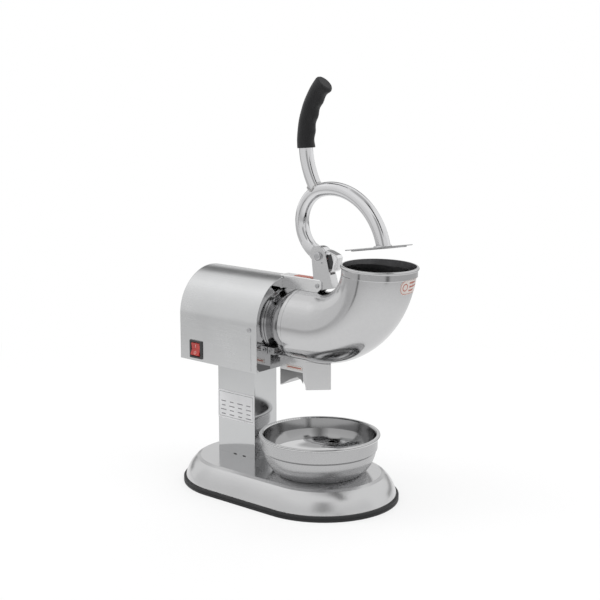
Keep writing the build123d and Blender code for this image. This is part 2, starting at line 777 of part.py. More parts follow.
with BuildPart() as elbow_screws:
    bolt(across(flange_front), flange_screw_spots[1::2], 3.2, 1.8, 1.9, flange_front - plate_front)
    with BuildSketch(across(flange_front + 1.8)):
        with Locations(*flange_screw_spots[1::2]):
            RegularPolygon(1.7, 6)
    extrude(amount=-1.2, mode=Mode.SUBTRACT)
    for side in (-1, 1):
        face = Plane(origin=(0, side * lug_reach, 0), x_dir=(-side, 0, 0), z_dir=(0, side, 0))
        with BuildSketch(face):
            with Locations((-side * lug_screw[0], lug_screw[1])):
                Circle(3.0)
                RegularPolygon(1.6, 6, mode=Mode.SUBTRACT)
        extrude(amount=1.6)
keep(elbow_screws, "elbow_screws")

# ---------------------------------------------------------------- discharge chute

prow_tip = chute_corner + chute_half - 1.2
cheek_arch = [(chute_rear + 2.5, chute_bottom), (chute_rear + 18.4, 166.8), (base_x + 37, 172.3),
              (base_x + 47, 169.0), (chute_corner - 2.5, chute_bottom)]


def chute_outline(grow=0.0):
    """Plan of the chute: straight cheeks, a flat back, and a front that comes to a point."""
    with BuildSketch() as plan:
        with BuildLine():
            Polyline((chute_rear - grow, -chute_half - grow), (chute_corner, -chute_half - grow),
                     (prow_tip + grow, -1.2), (prow_tip + grow, 1.2), (chute_corner, chute_half + grow),
                     (chute_rear - grow, chute_half + grow), close=True)
        make_face()
    return plan.sketch_local


with BuildPart() as discharge_chute:
    with BuildSketch(Plane.XY.offset(chute_bottom)):
        add(chute_outline())
    extrude(amount=chute_top - chute_bottom)
    with BuildSketch(Plane.XY.offset(chute_top - 5.5)):
        add(chute_outline(1.6))
    extrude(amount=5.5)
    with BuildSketch(Plane.XY.offset(chute_bottom)):
        add(chute_outline(-chute_wall))
    extrude(amount=chute_top - chute_bottom, mode=Mode.SUBTRACT)
    with BuildSketch(upright()):
        with BuildLine():
            Spline(*cheek_arch)
            Polyline(cheek_arch[-1], (cheek_arch[-1][0], chute_bottom - 5),
                     (cheek_arch[0][0], chute_bottom - 5), cheek_arch[0])
        make_face()
    extrude(amount=2 * chute_half, both=True, mode=Mode.SUBTRACT)
    with BuildSketch(across(axis_z - 400)):
        Circle(elbow_outer + 0.3)
    extrude(amount=900, mode=Mode.SUBTRACT)
    with BuildSketch(across(chute_rear - 3)):
        with Locations((-12, 199.4 - axis_z), (12, 199.4 - axis_z)):
            Circle(1.5)
    extrude(amount=8, mode=Mode.SUBTRACT)
keep(discharge_chute, "discharge_chute")

with BuildPart() as chute_screws:
    bolt(behind(chute_rear - 1.6), [(y, 199.4 - axis_z) for y in (-12, 12)],
         2.3, 1.4, 1.4, 3.0)
keep(chute_screws, "chute_screws")

# ---------------------------------------------------------------- top bracket, fork and pivot

bracket_front = base_x + 66.6
bracket_top = 310.9
bracket_bottom = 292.8
bracket_rear = base_x - 7.4
rivet_spot = (base_x + 59.8, 302.4)
fork_lean = math.radians(17.7)
fork_top_radius = 12.7
fork_foot = [(base_x + 53.2, 294.6), (base_x + 85.2, 301.4)]
fork_front_top = (pivot_x + fork_top_radius * math.cos(fork_lean), pivot_z + fork_top_radius * math.sin(fork_lean))
pivot_bolt_radius = 4.0

with BuildPart() as top_bracket:
    web_under = bracket_top - bracket_sheet
    with BuildSketch(upright()):
        with BuildLine():
            Polyline((bracket_front, bracket_bottom + 6), (bracket_front, bracket_top - 3),
                     (bracket_front - 3, bracket_top), (bracket_rear, bracket_top),
                     (bracket_rear, web_under), (housing_front + 0.2, web_under),
                     (housing_front + 0.2, web_under - 2.8), (plate_front, web_under - 2.8),
                     (plate_front, bracket_bottom), (bracket_front - 7, bracket_bottom), close=True)
        make_face()
    extrude(amount=bracket_half, both=True)
    corners = top_bracket.edges().filter_by(Axis.X).filter_by_position(Axis.Z, bracket_top, bracket_top)
    fillet(corners, 1.2)
    with Locations(((plate_front + bracket_front) / 2, 0, (bracket_bottom + bracket_top) / 2 - bracket_sheet)):
        Box(bracket_front - plate_front + 2, 2 * (bracket_half - bracket_sheet),
            bracket_top - bracket_bottom, mode=Mode.SUBTRACT)
    with Locations((base_x + 60, 0, bracket_top)):
        Box(30, 2 * (bracket_half - bracket_sheet), 8, mode=Mode.SUBTRACT)
    with BuildSketch(across(plate_front - 1)):
        Circle(elbow_outer + 0.1)
    extrude(amount=120, mode=Mode.SUBTRACT)
    with BuildSketch(upright()):
        with Locations(rivet_spot):
            Circle(2.0)
    extrude(amount=2 * bracket_half, both=True, mode=Mode.SUBTRACT)
keep(top_bracket, "top_bracket")

fork_outer = fork_half
fork_inner = fork_half - fork_sheet
throat_clear = bend_radius - elbow_outer - 0.6

with BuildPart() as pivot_fork:
    with BuildSketch(upright()):
        with BuildLine():
            Polyline((pivot_x - fork_top_radius, pivot_z), (fork_foot[0][0] - 3, 318), fork_foot[0],
                     fork_foot[1], fork_front_top, (pivot_x, pivot_z), (pivot_x - fork_top_radius, pivot_z))
        make_face()
        with Locations((pivot_x, pivot_z)):
            Circle(fork_top_radius)
        with Locations((pivot_x, pivot_z), rivet_spot):
            Circle(2.0, mode=Mode.SUBTRACT)
        with Locations((pivot_x, pivot_z)):
            Circle(pivot_bolt_radius, mode=Mode.SUBTRACT)
    extrude(amount=fork_outer, both=True)
    with BuildSketch(upright()):
        with BuildLine():
            Polyline((pivot_x - 40, pivot_z + 30), (pivot_x - 40, 280), (base_x + 83.4, 280),
                     (base_x + 83.4, 302.6), (base_x + 78.6, 319.5), (base_x + 100, 319.5),
                     (base_x + 100, pivot_z + 30), close=True)
        make_face()
    extrude(amount=fork_inner, both=True, mode=Mode.SUBTRACT)
    with BuildSketch(upright()):
        with Locations((base_x + 66.3, 334.7)):
            Circle(1.0)
    extrude(amount=fork_outer, mode=Mode.SUBTRACT)
    with BuildSketch(upright()):
        with Locations((pivot_x, pivot_z)):
            Circle(bend_radius + 20)
            Circle(throat_clear, mode=Mode.SUBTRACT)
    extrude(amount=fork_outer, both=True, mode=Mode.SUBTRACT)
keep(pivot_fork, "pivot_fork")

with BuildPart() as bracket_rivet:
    near = Plane(origin=(0, -bracket_half, 0), x_dir=(1, 0, 0), z_dir=(0, -1, 0))
    far = Plane(origin=(0, bracket_half, 0), x_dir=(-1, 0, 0), z_dir=(0, 1, 0))
    bolt(near, [rivet_spot], 3.4, 1.6, 2.0, 2 * bracket_half)
    bolt(far, [(-rivet_spot[0], rivet_spot[1])], 3.4, 1.6, 2.0, 1.0)
    ends = bracket_rivet.edges().filter_by_position(Axis.Y, -bracket_half - 1.7, -bracket_half - 1.5)
    ends += bracket_rivet.edges().filter_by_position(Axis.Y, bracket_half + 1.5, bracket_half + 1.7)
    fillet(ends, 1.2)
keep(bracket_rivet, "bracket_rivet")

with BuildPart() as pivot_bolt:
    near = Plane(origin=(0, -fork_outer, 0), x_dir=(1, 0, 0), z_dir=(0, -1, 0))
    bolt(near, [(pivot_x, pivot_z)], 6.3, 4.2, pivot_bolt_radius, 2 * fork_outer + 7.0)
    dome = pivot_bolt.edges().filter_by_position(Axis.Y, -fork_outer - 4.3, -fork_outer - 4.1)
    fillet(dome, 3.0)
keep(pivot_bolt, "pivot_bolt")

with BuildPart() as pivot_nut:
    with BuildSketch(Plane(origin=(pivot_x, fork_outer, pivot_z), x_dir=(-1, 0, 0), z_dir=(0, 1, 0))):
        Circle(8.0)
        Circle(pivot_bolt_radius, mode=Mode.SUBTRACT)
    extrude(amount=1.2)
    with BuildSketch(Plane(origin=(pivot_x, fork_outer + 1.2, pivot_z), x_dir=(-1, 0, 0), z_dir=(0, 1, 0))):
        RegularPolygon(7.4, 6)
        Circle(pivot_bolt_radius, mode=Mode.SUBTRACT)
    extrude(amount=6.0)
keep(pivot_nut, "pivot_nut")

# ---------------------------------------------------------------- safety switch behind the pivot

switch_line = -20.0          # polar angle of the plunger about the pivot
cam_radius = 12.0            # lug radius facing the plunger at rest
cam_rise = 0.0133            # growth of that radius for each degree the lever goes down
plunger_gap = 0.3
plunger_tip = cam_radius + plunger_gap
body_start = 14.6
plunger_plane = around_pivot(switch_line, body_start)


def radial(distance):
    """Plane square to the plunger's line at a distance from the pivot, facing away from it."""
    turn = math.radians(switch_line)
    outward = (math.cos(turn), 0, math.sin(turn))
    centre = (pivot_x + distance * outward[0], 0, pivot_z + distance * outward[2])
    return Plane(origin=centre, x_dir=(0, 1, 0), z_dir=outward)


with BuildPart() as switch_body:
    with BuildSketch(radial(body_start)):
        Rectangle(9.4, 18.0)
        Circle(1.95, mode=Mode.SUBTRACT)
    extrude(amount=7.0)
    with BuildSketch(radial(body_start + 7.0)):
        Rectangle(9.4, 18.0)
    extrude(amount=4.0)
    outer_corners = switch_body.edges().filter_by(Axis.Y).sort_by(Axis.X)[-2:]
    chamfer(outer_corners, 2.0)
keep(switch_body, "switch_body")

with BuildPart() as switch_plunger:
    with BuildSketch(radial(plunger_tip)):
        Circle(1.9)
    extrude(amount=6.0)
    tip = switch_plunger.edges().sort_by(Axis.X)[0]
    fillet(tip, 0.6)
keep(switch_plunger, "switch_plunger")

guard_sheet = 1.6

with BuildPart() as switch_guard:
    with BuildSketch(upright()):
        with BuildLine():
            Polyline((base_x + 72.6, 351.6), (base_x + 77.0, 350.9), (base_x + 90.0, 346.6),
                     (base_x + 92.2, 343.4), (base_x + 88.6, 327.0), (base_x + 86.4, 325.0),
                     (base_x + 80.2, 323.6))
            offset(amount=guard_sheet / 2, side=Side.BOTH)
        make_face()
    extrude(amount=5.4, both=True)
keep(switch_guard, "switch_guard")

# ---------------------------------------------------------------- press lever

loop_start = (base_x + 47.4, 347.7)
loop_joints = [(base_x + 27.4, 403.2), (base_x + 59.5, 433.2), (base_x + 111.3, 430.5),
               (base_x + 164.6, 371.0)]
loop_heading = (math.cos(2.6), math.sin(2.6))
lug_end = 26.0               # distance from the pivot at which the flattened end becomes round tube


def loop_path():
    """Centre line of the loop: four arcs and a short leg, each leaving in the direction the last one came in."""
    first = TangentArc(loop_start, loop_joints[0], tangent=loop_heading)
    second = TangentArc(loop_joints[0], loop_joints[1], tangent=first % 1)
    third = TangentArc(loop_joints[1], loop_joints[2], tangent=second % 1)
    fourth = TangentArc(loop_joints[2], loop_joints[3], tangent=third % 1)
    Line(fourth @ 1, fourth @ 1 + 12 * (fourth % 1))


disc_lean = math.radians(disc_tilt)
disc_plane = Plane(origin=around_pivot(disc_angle, disc_path).origin,
                   x_dir=(math.cos(disc_lean), 0, math.sin(disc_lean)),
                   z_dir=(-math.sin(disc_lean), 0, math.cos(disc_lean)))
disc_sheet = 1.4
pad_sheet = 1.6

cam = []
for angle in range(-100, 121, 20):
    reach = cam_radius + cam_rise * (angle - switch_line)
    turn = math.radians(angle)
    cam.append((pivot_x + reach * math.cos(turn), pivot_z + reach * math.sin(turn)))

with BuildPart() as lever_loop:
    with BuildLine(upright()) as centre_line:
        loop_path()
    with BuildSketch(Plane(origin=centre_line.line @ 0, z_dir=centre_line.line % 0)):
        Circle(tube_radius)
    sweep(path=centre_line.line)
    with BuildSketch(Plane(origin=(pivot_x, 0, pivot_z), x_dir=(1, 0, 0), z_dir=(0, 0, 1))):
        with BuildLine():
            Polyline((0, lug_half), (16.5, lug_half), (34, tube_radius + 0.5), (34, 14), (0, 14), close=True)
        make_face()
        mirror(about=Plane.XZ)
    revolve(axis=Axis((pivot_x, 0, pivot_z), (0, 1, 0)), mode=Mode.SUBTRACT)
    with BuildSketch(upright()):
        with BuildLine():
            Spline(*cam)
            Polyline(cam[-1], (base_x + 47.6, 358.6), (base_x + 40, 358.0), (base_x + 40, 343.0),
                     (base_x + 50, 333.4), cam[0])
        make_face()
    extrude(amount=lug_half, both=True)
    with BuildSketch(upright()):
        with Locations((pivot_x, pivot_z)):
            Circle(pivot_bolt_radius + 0.05)
    extrude(amount=lug_half, both=True, mode=Mode.SUBTRACT)
    with BuildSketch(disc_plane):
        Circle(disc_radius)
    extrude(amount=-30, mode=Mode.SUBTRACT)
keep(lever_loop, "lever_loop")

handle_points = [(base_x + 50.0, 434.0), (base_x + 31.3, 503.0), (base_x + 61.4, 575.0)]
grip_share = 0.382           # share of the bar below the grip

with BuildPart() as lever_handle:
    with BuildLine(upright()) as handle_line:
        ThreePointArc(*handle_points)
    with BuildSketch(Plane(origin=handle_line.line @ 0, z_dir=handle_line.line % 0)):
        Circle(tube_radius)
    sweep(path=handle_line.line)
    with BuildLine(upright()) as loop_line:
        loop_path()
    with BuildSketch(Plane(origin=loop_line.line @ 0, z_dir=loop_line.line % 0)) as tube_section:
        Circle(tube_radius)
    sweep(tube_section.sketch, path=loop_line.line, mode=Mode.SUBTRACT)
keep(lever_handle, "lever_handle")

grip_side = 11.6             # half width of the grip across the machine
grip_back = 12.2             # reach of the grip behind its bar
grip_front = 12.7            # its reach in front, without the finger waves
grip_stations = 20

with BuildPart() as grip:
    with BuildLine(upright()) as grip_line:
        whole = ThreePointArc(*handle_points, mode=Mode.PRIVATE)
        grip_arc = ThreePointArc(whole @ grip_share, whole @ 0.7, whole @ 1.0)
    for step in range(grip_stations + 1):
        share = step / grip_stations
        wave = 0.9 * math.cos(8.0 * math.pi * share)
        nose = 1.6 * max(0.0, (share - 0.8) / 0.2)
        ahead = grip_front + wave + nose
        section = Plane(origin=grip_arc @ share, x_dir=(0, 1, 0), z_dir=grip_arc % share)
        with BuildSketch(section):
            with Locations((0, (grip_back - ahead) / 2)):
                Ellipse(grip_side, (ahead + grip_back) / 2)
    loft()
    for lift, scale in ((0.0, 1.0), (1.6, 0.96), (2.8, 0.88), (3.6, 0.74)):
        with BuildSketch(section.offset(lift)):
            with Locations((0, (grip_back - ahead) / 2)):
                Ellipse(grip_side * scale, (ahead + grip_back) / 2 * scale)
    loft(ruled=True)
    add(lever_handle.part, mode=Mode.SUBTRACT)
keep(grip, "grip")

with BuildPart() as pusher_foot:
    with BuildSketch(disc_plane):
        with Locations((6.6, 0)):
            Circle(12.2)
    extrude(amount=2.6)
    foot_top = pusher_foot.faces().sort_by(Axis(disc_plane.origin, disc_plane.z_dir))[-1]
    chamfer(foot_top.edges(), 0.8)
    add(lever_loop.part, mode=Mode.SUBTRACT)
keep(pusher_foot, "pusher_foot")

with BuildPart() as pusher_disc:
    with BuildSketch(disc_plane):
        Circle(disc_radius)
    extrude(amount=-disc_sheet)
    fillet(pusher_disc.edges(), 0.5)
keep(pusher_disc, "pusher_disc")

with BuildPart() as pusher_pad:
    with BuildSketch(disc_plane.offset(-disc_sheet)):
        Circle(36.8)
    extrude(amount=-pad_sheet)
    chamfer(pusher_pad.faces().sort_by(Axis.Z)[0].edges(), 0.5)
keep(pusher_pad, "pusher_pad")

# ---------------------------------------------------------------- bowl

bowl_foot = base_top + bowl_gap
bowl_axis = Axis((bowl_x, 0, 0), (0, 0, 1))

with BuildPart() as bowl_outer:
    with BuildSketch(upright(bowl_x)):
        with BuildLine():
            Polyline((0, bowl_foot + 3), (56, bowl_foot + 3), (58, bowl_foot), (62, bowl_foot))
            ThreePointArc((62, bowl_foot), (72.6, 50), (79.4, 69))
            Polyline((79.4, 69), (78.2, 70.4), (81.2, 71.6), (81.6, 88.2), (80.4, 88.2), (80.0, 72.2),
                     (76.9, 70.6), (78.0, 68.6))
            ThreePointArc((78.0, 68.6), (71.2, 50.6), (61, bowl_foot + 1.5))
            Polyline((61, bowl_foot + 1.5), (58.8, bowl_foot + 1.5), (56.8, bowl_foot + 4.2),
                     (0, bowl_foot + 4.2), (0, bowl_foot + 3))
        make_face()
    revolve(axis=bowl_axis)
keep(bowl_outer, "bowl_outer")

with BuildPart() as bowl_inner:
    with BuildSketch(upright(bowl_x)):
        with BuildLine():
            Polyline((0, 46), (40, 46))
            ThreePointArc((40, 46), (65.5, 56), (77.6, 76))
            Polyline((77.6, 76), (80.4, 88.2), (83.6, 88.6))
            ThreePointArc((83.6, 88.6), (bowl_rim_radius, 90.6), (83.4, bowl_rim_top))
            Polyline((83.4, bowl_rim_top), (80.4, bowl_rim_top), (79.0, 90.6), (76.3, 76.6))
            ThreePointArc((76.3, 76.6), (64.6, 57.0), (39.8, 47.2))
            Polyline((39.8, 47.2), (0, 47.2), (0, 46))
        make_face()
    revolve(axis=bowl_axis)
keep(bowl_inner, "bowl_inner")

# ---------------------------------------------------------------- export

os.makedirs("parts", exist_ok=True)
for name, piece in parts.items():
    export_step(piece, "parts/" + name + ".step")
    print(name, round(piece.volume))
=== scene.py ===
"""Finishes, small dressings, studio and camera for a countertop ice shaver with a hand press lever."""

import logging
import math
from dataclasses import dataclass
from enum import Enum
from typing import Callable, Sequence

import bmesh
import bpy
from mathutils import Matrix, Vector
from mathutils.bvhtree import BVHTree


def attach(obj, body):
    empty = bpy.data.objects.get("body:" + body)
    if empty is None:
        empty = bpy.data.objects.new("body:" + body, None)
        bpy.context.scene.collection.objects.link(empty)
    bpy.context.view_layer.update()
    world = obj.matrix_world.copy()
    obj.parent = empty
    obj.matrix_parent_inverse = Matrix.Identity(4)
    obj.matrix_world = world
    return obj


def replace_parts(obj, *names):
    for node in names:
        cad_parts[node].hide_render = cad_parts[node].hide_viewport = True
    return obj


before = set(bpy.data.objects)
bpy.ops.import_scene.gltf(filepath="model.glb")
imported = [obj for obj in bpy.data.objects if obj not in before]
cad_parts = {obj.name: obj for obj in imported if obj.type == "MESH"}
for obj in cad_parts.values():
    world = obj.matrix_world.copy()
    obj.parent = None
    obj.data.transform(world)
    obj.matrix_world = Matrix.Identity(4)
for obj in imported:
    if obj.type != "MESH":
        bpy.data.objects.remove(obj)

log = logging.getLogger("ice_shaver")

BASE_X = -0.02114
AXIS_Z = 0.2437
PIVOT = Vector((BASE_X + 0.060, 0.0, 0.3435))
BEND_RADIUS = PIVOT.z - AXIS_Z
RIGHT = Vector((1, 0, 0))
BACK = Vector((0, 1, 0))
UP = Vector((0, 0, 1))
MACHINE_MIDDLE = (0.0, 0.0, 0.27)
SHARP_ANGLE = 32.0
LATHE_SIDES = 160

Colour = tuple[float, float, float]
Place = tuple[float, float, float]
Point = tuple[float, float]
Face = tuple[int, ...]
Socket = bpy.types.NodeSocket


# ---------------- shader building


class Graph:
    """Node tree of a material or of the surround, filled step by step."""

    def __init__(self, name: str, kind: bpy.types.bpy_prop_collection = bpy.data.materials) -> None:
        """Start an empty tree.

        Args:
            name: its owner's name.
            kind: where the owner is made.
        """
        self.owner = kind.new(name)
        self.owner.use_nodes = True
        self.tree = self.owner.node_tree
        self.tree.nodes.clear()
        self.coords = self.node("ShaderNodeTexCoord").outputs["Object"]

    def node(self, kind: str, **settings: object) -> bpy.types.Node:
        """Add a node and set its properties.

        Args:
            kind: Blender's node type name.
            **settings: attributes to set on the node.

        Returns:
            The new node.
        """
        made = self.tree.nodes.new(kind)
        for key, value in settings.items():
            setattr(made, key, value)
        return made

    def filled(self, kind: str, **values: object) -> bpy.types.bpy_prop_collection:
        """Add a node and fill its inputs.

        Args:
            kind: Blender's node type name.
            **values: plain values or sockets by input name, with underscores for spaces.

        Returns:
            The node's outputs.
        """
        made = self.node(kind)
        for key, value in values.items():
            socket = made.inputs[key.replace("_", " ")]
            if isinstance(value, Socket):
                self.join(value, socket)
            else:
                socket.default_value = (*value, 1) if socket.type == "RGBA" else value
        return made.outputs

    def join(self, source: Socket, target: Socket) -> None:
        """Link an output to an input."""
        self.tree.links.new(source, target)

    def noise(self, scale: Sequence[float], detail: float, rough: float = 0.6) -> Socket:
        """Noise between 0 and 1.

        Args:
            scale: how fine it is on X, Y and Z.
            detail: number of octaves.
            rough: strength of the finer octaves.

        Returns:
            The noise value.
        """
        place = self.filled("ShaderNodeMapping", Scale=scale, Vector=self.coords)["Vector"]
        return self.filled("ShaderNodeTexNoise", Vector=place, Scale=1.0, Detail=detail,
                           Roughness=rough)["Fac"]

    def ranged(self, value: Socket, low: float, high: float,
               start: float = 0.3, end: float = 0.7) -> Socket:
        """Spread a value over a new range.

        Args:
            value: what is spread.
            low: result at start.
            high: result at end.
            start: input that gives low.
            end: input that gives high.

        Returns:
            The spread value.
        """
        return self.filled("ShaderNodeMapRange", From_Min=start, From_Max=end, To_Min=low, To_Max=high,
                           Value=value)["Result"]

    def sum(self, a: Socket, b: Socket, how: str = "ADD") -> Socket:
        """Join two values by a sum or another sign.

        Args:
            a: first value.
            b: second value.
            how: Blender's name of the operation.

        Returns:
            The result.
        """
        made = self.node("ShaderNodeMath", operation=how)
        self.join(a, made.inputs[0])
        self.join(b, made.inputs[1])
        return made.outputs[0]

    def blend(self, share: Socket, low: Colour, high: Colour) -> Socket:
        """Colour between two tones.

        Args:
            share: 0 gives low and 1 gives high.
            low: first tone.
            high: second tone.

        Returns:
            The mixed colour.
        """
        made = self.node("ShaderNodeMix", data_type="RGBA")
        made.inputs[6].default_value = (*low, 1)
        made.inputs[7].default_value = (*high, 1)
        self.join(share, made.inputs[0])
        return made.outputs[2]

    def bump(self, height: Socket, depth: float) -> Socket:
        """Surface relief from a height.

        Args:
            height: the height value.
            depth: height of one unit, in metres.

        Returns:
            The bent normal.
        """
        return self.filled("ShaderNodeBump", Distance=depth, Height=height)["Normal"]

    def absolute(self, value: Socket) -> Socket:
        """Take a value's sign away.

        Args:
            value: the value.

        Returns:
            Its size.
        """
        made = self.node("ShaderNodeMath", operation="ABSOLUTE")
        self.join(value, made.inputs[0])
        return made.outputs[0]

    def axes(self) -> bpy.types.bpy_prop_collection:
        """Object coordinates as three single values."""
        return self.filled("ShaderNodeSeparateXYZ", Vector=self.coords)

    def weave(self, tone: float) -> Socket:
        """Grey of a studio cloth, a little uneven."""
        return self.blend(self.noise((2, 2, 2), 3.0), (tone * 0.9,) * 3, (tone * 1.1,) * 3)

    def glow(self, tone: Socket) -> Socket:
        """Even light in a tone."""
        return self.filled("ShaderNodeEmission", Color=tone)[0]

    def mixed(self, share: Socket, first: Socket, second: Socket) -> Socket:
        """Two shaders in one.

        Args:
            share: 0 shows the first and 1 the second.
            first: one shader.
            second: the other.

        Returns:
            The mixed shader.
        """
        made = self.node("ShaderNodeMixShader")
        self.join(share, made.inputs[0])
        self.join(first, made.inputs[1])
        self.join(second, made.inputs[2])
        return made.outputs[0]

    def veil(self, share: Socket, tone: float) -> Socket:
        """Glowing cloth that is clear where the share is 0."""
        clear = self.node("ShaderNodeBsdfTransparent").outputs[0]
        return self.mixed(share, clear, self.glow(self.weave(tone)))

    def surface(self, shader: Socket) -> None:
        """Finish the material with a shader."""
        self.filled("ShaderNodeOutputMaterial", Surface=shader)

    def principled(self, **values: object) -> Socket:
        """The main shader, with its inputs filled."""
        return self.filled("ShaderNodeBsdfPrincipled", **values)["BSDF"]


# ---------------- finishes


@dataclass(frozen=True)
class Steel:
    """Metal with a fine grain, faint wiping marks, cloudy spots and softly rounded edges."""

    tone: Colour
    roughness: float
    grain: tuple[float, float, float]
    grain_share: float = 0.05
    cloud: float = 0.03
    depth: float = 4e-6
    edge: float = 0.0
    turned: float = 0.0

    def shader(self, g: Graph) -> Socket:
        """Shade a material.

        Args:
            g: the material's graph.

        Returns:
            The shader.
        """
        lines = g.noise(self.grain, 5.0, 0.7)
        marks = g.noise((9, 9, 9), 6.0, 0.65)
        fine = g.noise((420, 420, 420), 2.0)
        worn = g.sum(g.ranged(marks, 0, 0.7, 0.25, 0.75), g.ranged(lines, 0, 0.3))
        tone = g.blend(worn, tuple(c * 0.88 for c in self.tone), self.tone)
        half = self.grain_share / 2
        rough = g.sum(g.ranged(lines, self.roughness - half, self.roughness + half),
                      g.ranged(marks, -self.cloud / 2, self.cloud))
        height = g.sum(lines, g.ranged(fine, 0.0, 0.12))
        relief = g.bump(height, self.depth)
        if self.edge:
            rounded = g.node("ShaderNodeBevel", samples=4)
            rounded.inputs["Radius"].default_value = self.edge
            g.join(rounded.outputs[0], relief.node.inputs["Normal"])
        values = {"Base_Color": tone, "Metallic": 1.0, "Roughness": rough, "Normal": relief}
        if self.turned:
            values["Anisotropic"] = self.turned
            values["Tangent"] = g.node("ShaderNodeTangent", direction_type="RADIAL", axis="Z").outputs[0]
        return g.principled(**values)


@dataclass(frozen=True)
class Moulded:
    """Rubber or plastic with a fine moulded texture and dust in its pores."""

    tone: Colour
    roughness: float
    pore: float = 900.0
    depth: float = 4e-5
    dust: float = 0.03
    coat: float = 0.0
    gloss: float = 0.5

    def shader(self, g: Graph) -> Socket:
        """Shade a material.

        Args:
            g: the material's graph.

        Returns:
            The shader.
        """
        pores = g.noise((self.pore,) * 3, 3.0)
        wear = g.noise((14, 14, 14), 5.0)
        lighter = tuple(min(1.0, c + self.dust) for c in self.tone)
        tone = g.blend(g.ranged(wear, 0, 1, 0.4, 0.75), self.tone, lighter)
        rough = g.sum(g.ranged(wear, self.roughness - 0.05, self.roughness + 0.06),
                      g.ranged(pores, -0.02, 0.02))
        return g.principled(Base_Color=tone, Roughness=rough, Coat_Weight=self.coat,
                            Specular_IOR_Level=self.gloss, Normal=g.bump(pores, self.depth))


@dataclass(frozen=True)
class ClearRed:
    """Clear red moulding with a faint painted glow all over, standing in for light that passes through it."""

    tone: Colour = (0.40, 0.024, 0.015)

    def shader(self, g: Graph) -> Socket:
        """Shade a material.

        Args:
            g: the material's graph.

        Returns:
            The shader.
        """
        streak = g.noise((300, 300, 90), 3.0)
        cloud = g.noise((70, 70, 70), 4.0)
        tone = g.blend(g.ranged(cloud, 0, 1), (0.32, 0.010, 0.007), self.tone)
        rough = g.ranged(streak, 0.12, 0.24)
        # The faint red emission is a painted glow; the subsurface share lets real light through the moulding.
        return g.principled(Base_Color=tone, Roughness=rough, Coat_Weight=0.5, Subsurface_Weight=0.25,
                            Subsurface_Scale=0.004, Emission_Color=(0.8, 0.03, 0.01), Emission_Strength=0.05,
                            Normal=g.bump(streak, 2e-5))


@dataclass(frozen=True)
class Painted:
    """Enamel or print with fine orange peel and worn spots."""

    tone: Colour
    roughness: float = 0.35
    metal: float = 0.0

    def shader(self, g: Graph) -> Socket:
        """Shade a material.

        Args:
            g: the material's graph.

        Returns:
            The shader.
        """
        peel = g.noise((500, 500, 500), 2.0)
        wear = g.noise((30, 30, 30), 6.0)
        tone = g.blend(g.ranged(wear, 0, 1), tuple(c * 0.86 for c in self.tone), self.tone)
        rough = g.ranged(wear, self.roughness - 0.06, self.roughness + 0.1)
        return g.principled(Base_Color=tone, Metallic=self.metal, Roughness=rough,
                            Normal=g.bump(peel, 2e-5))


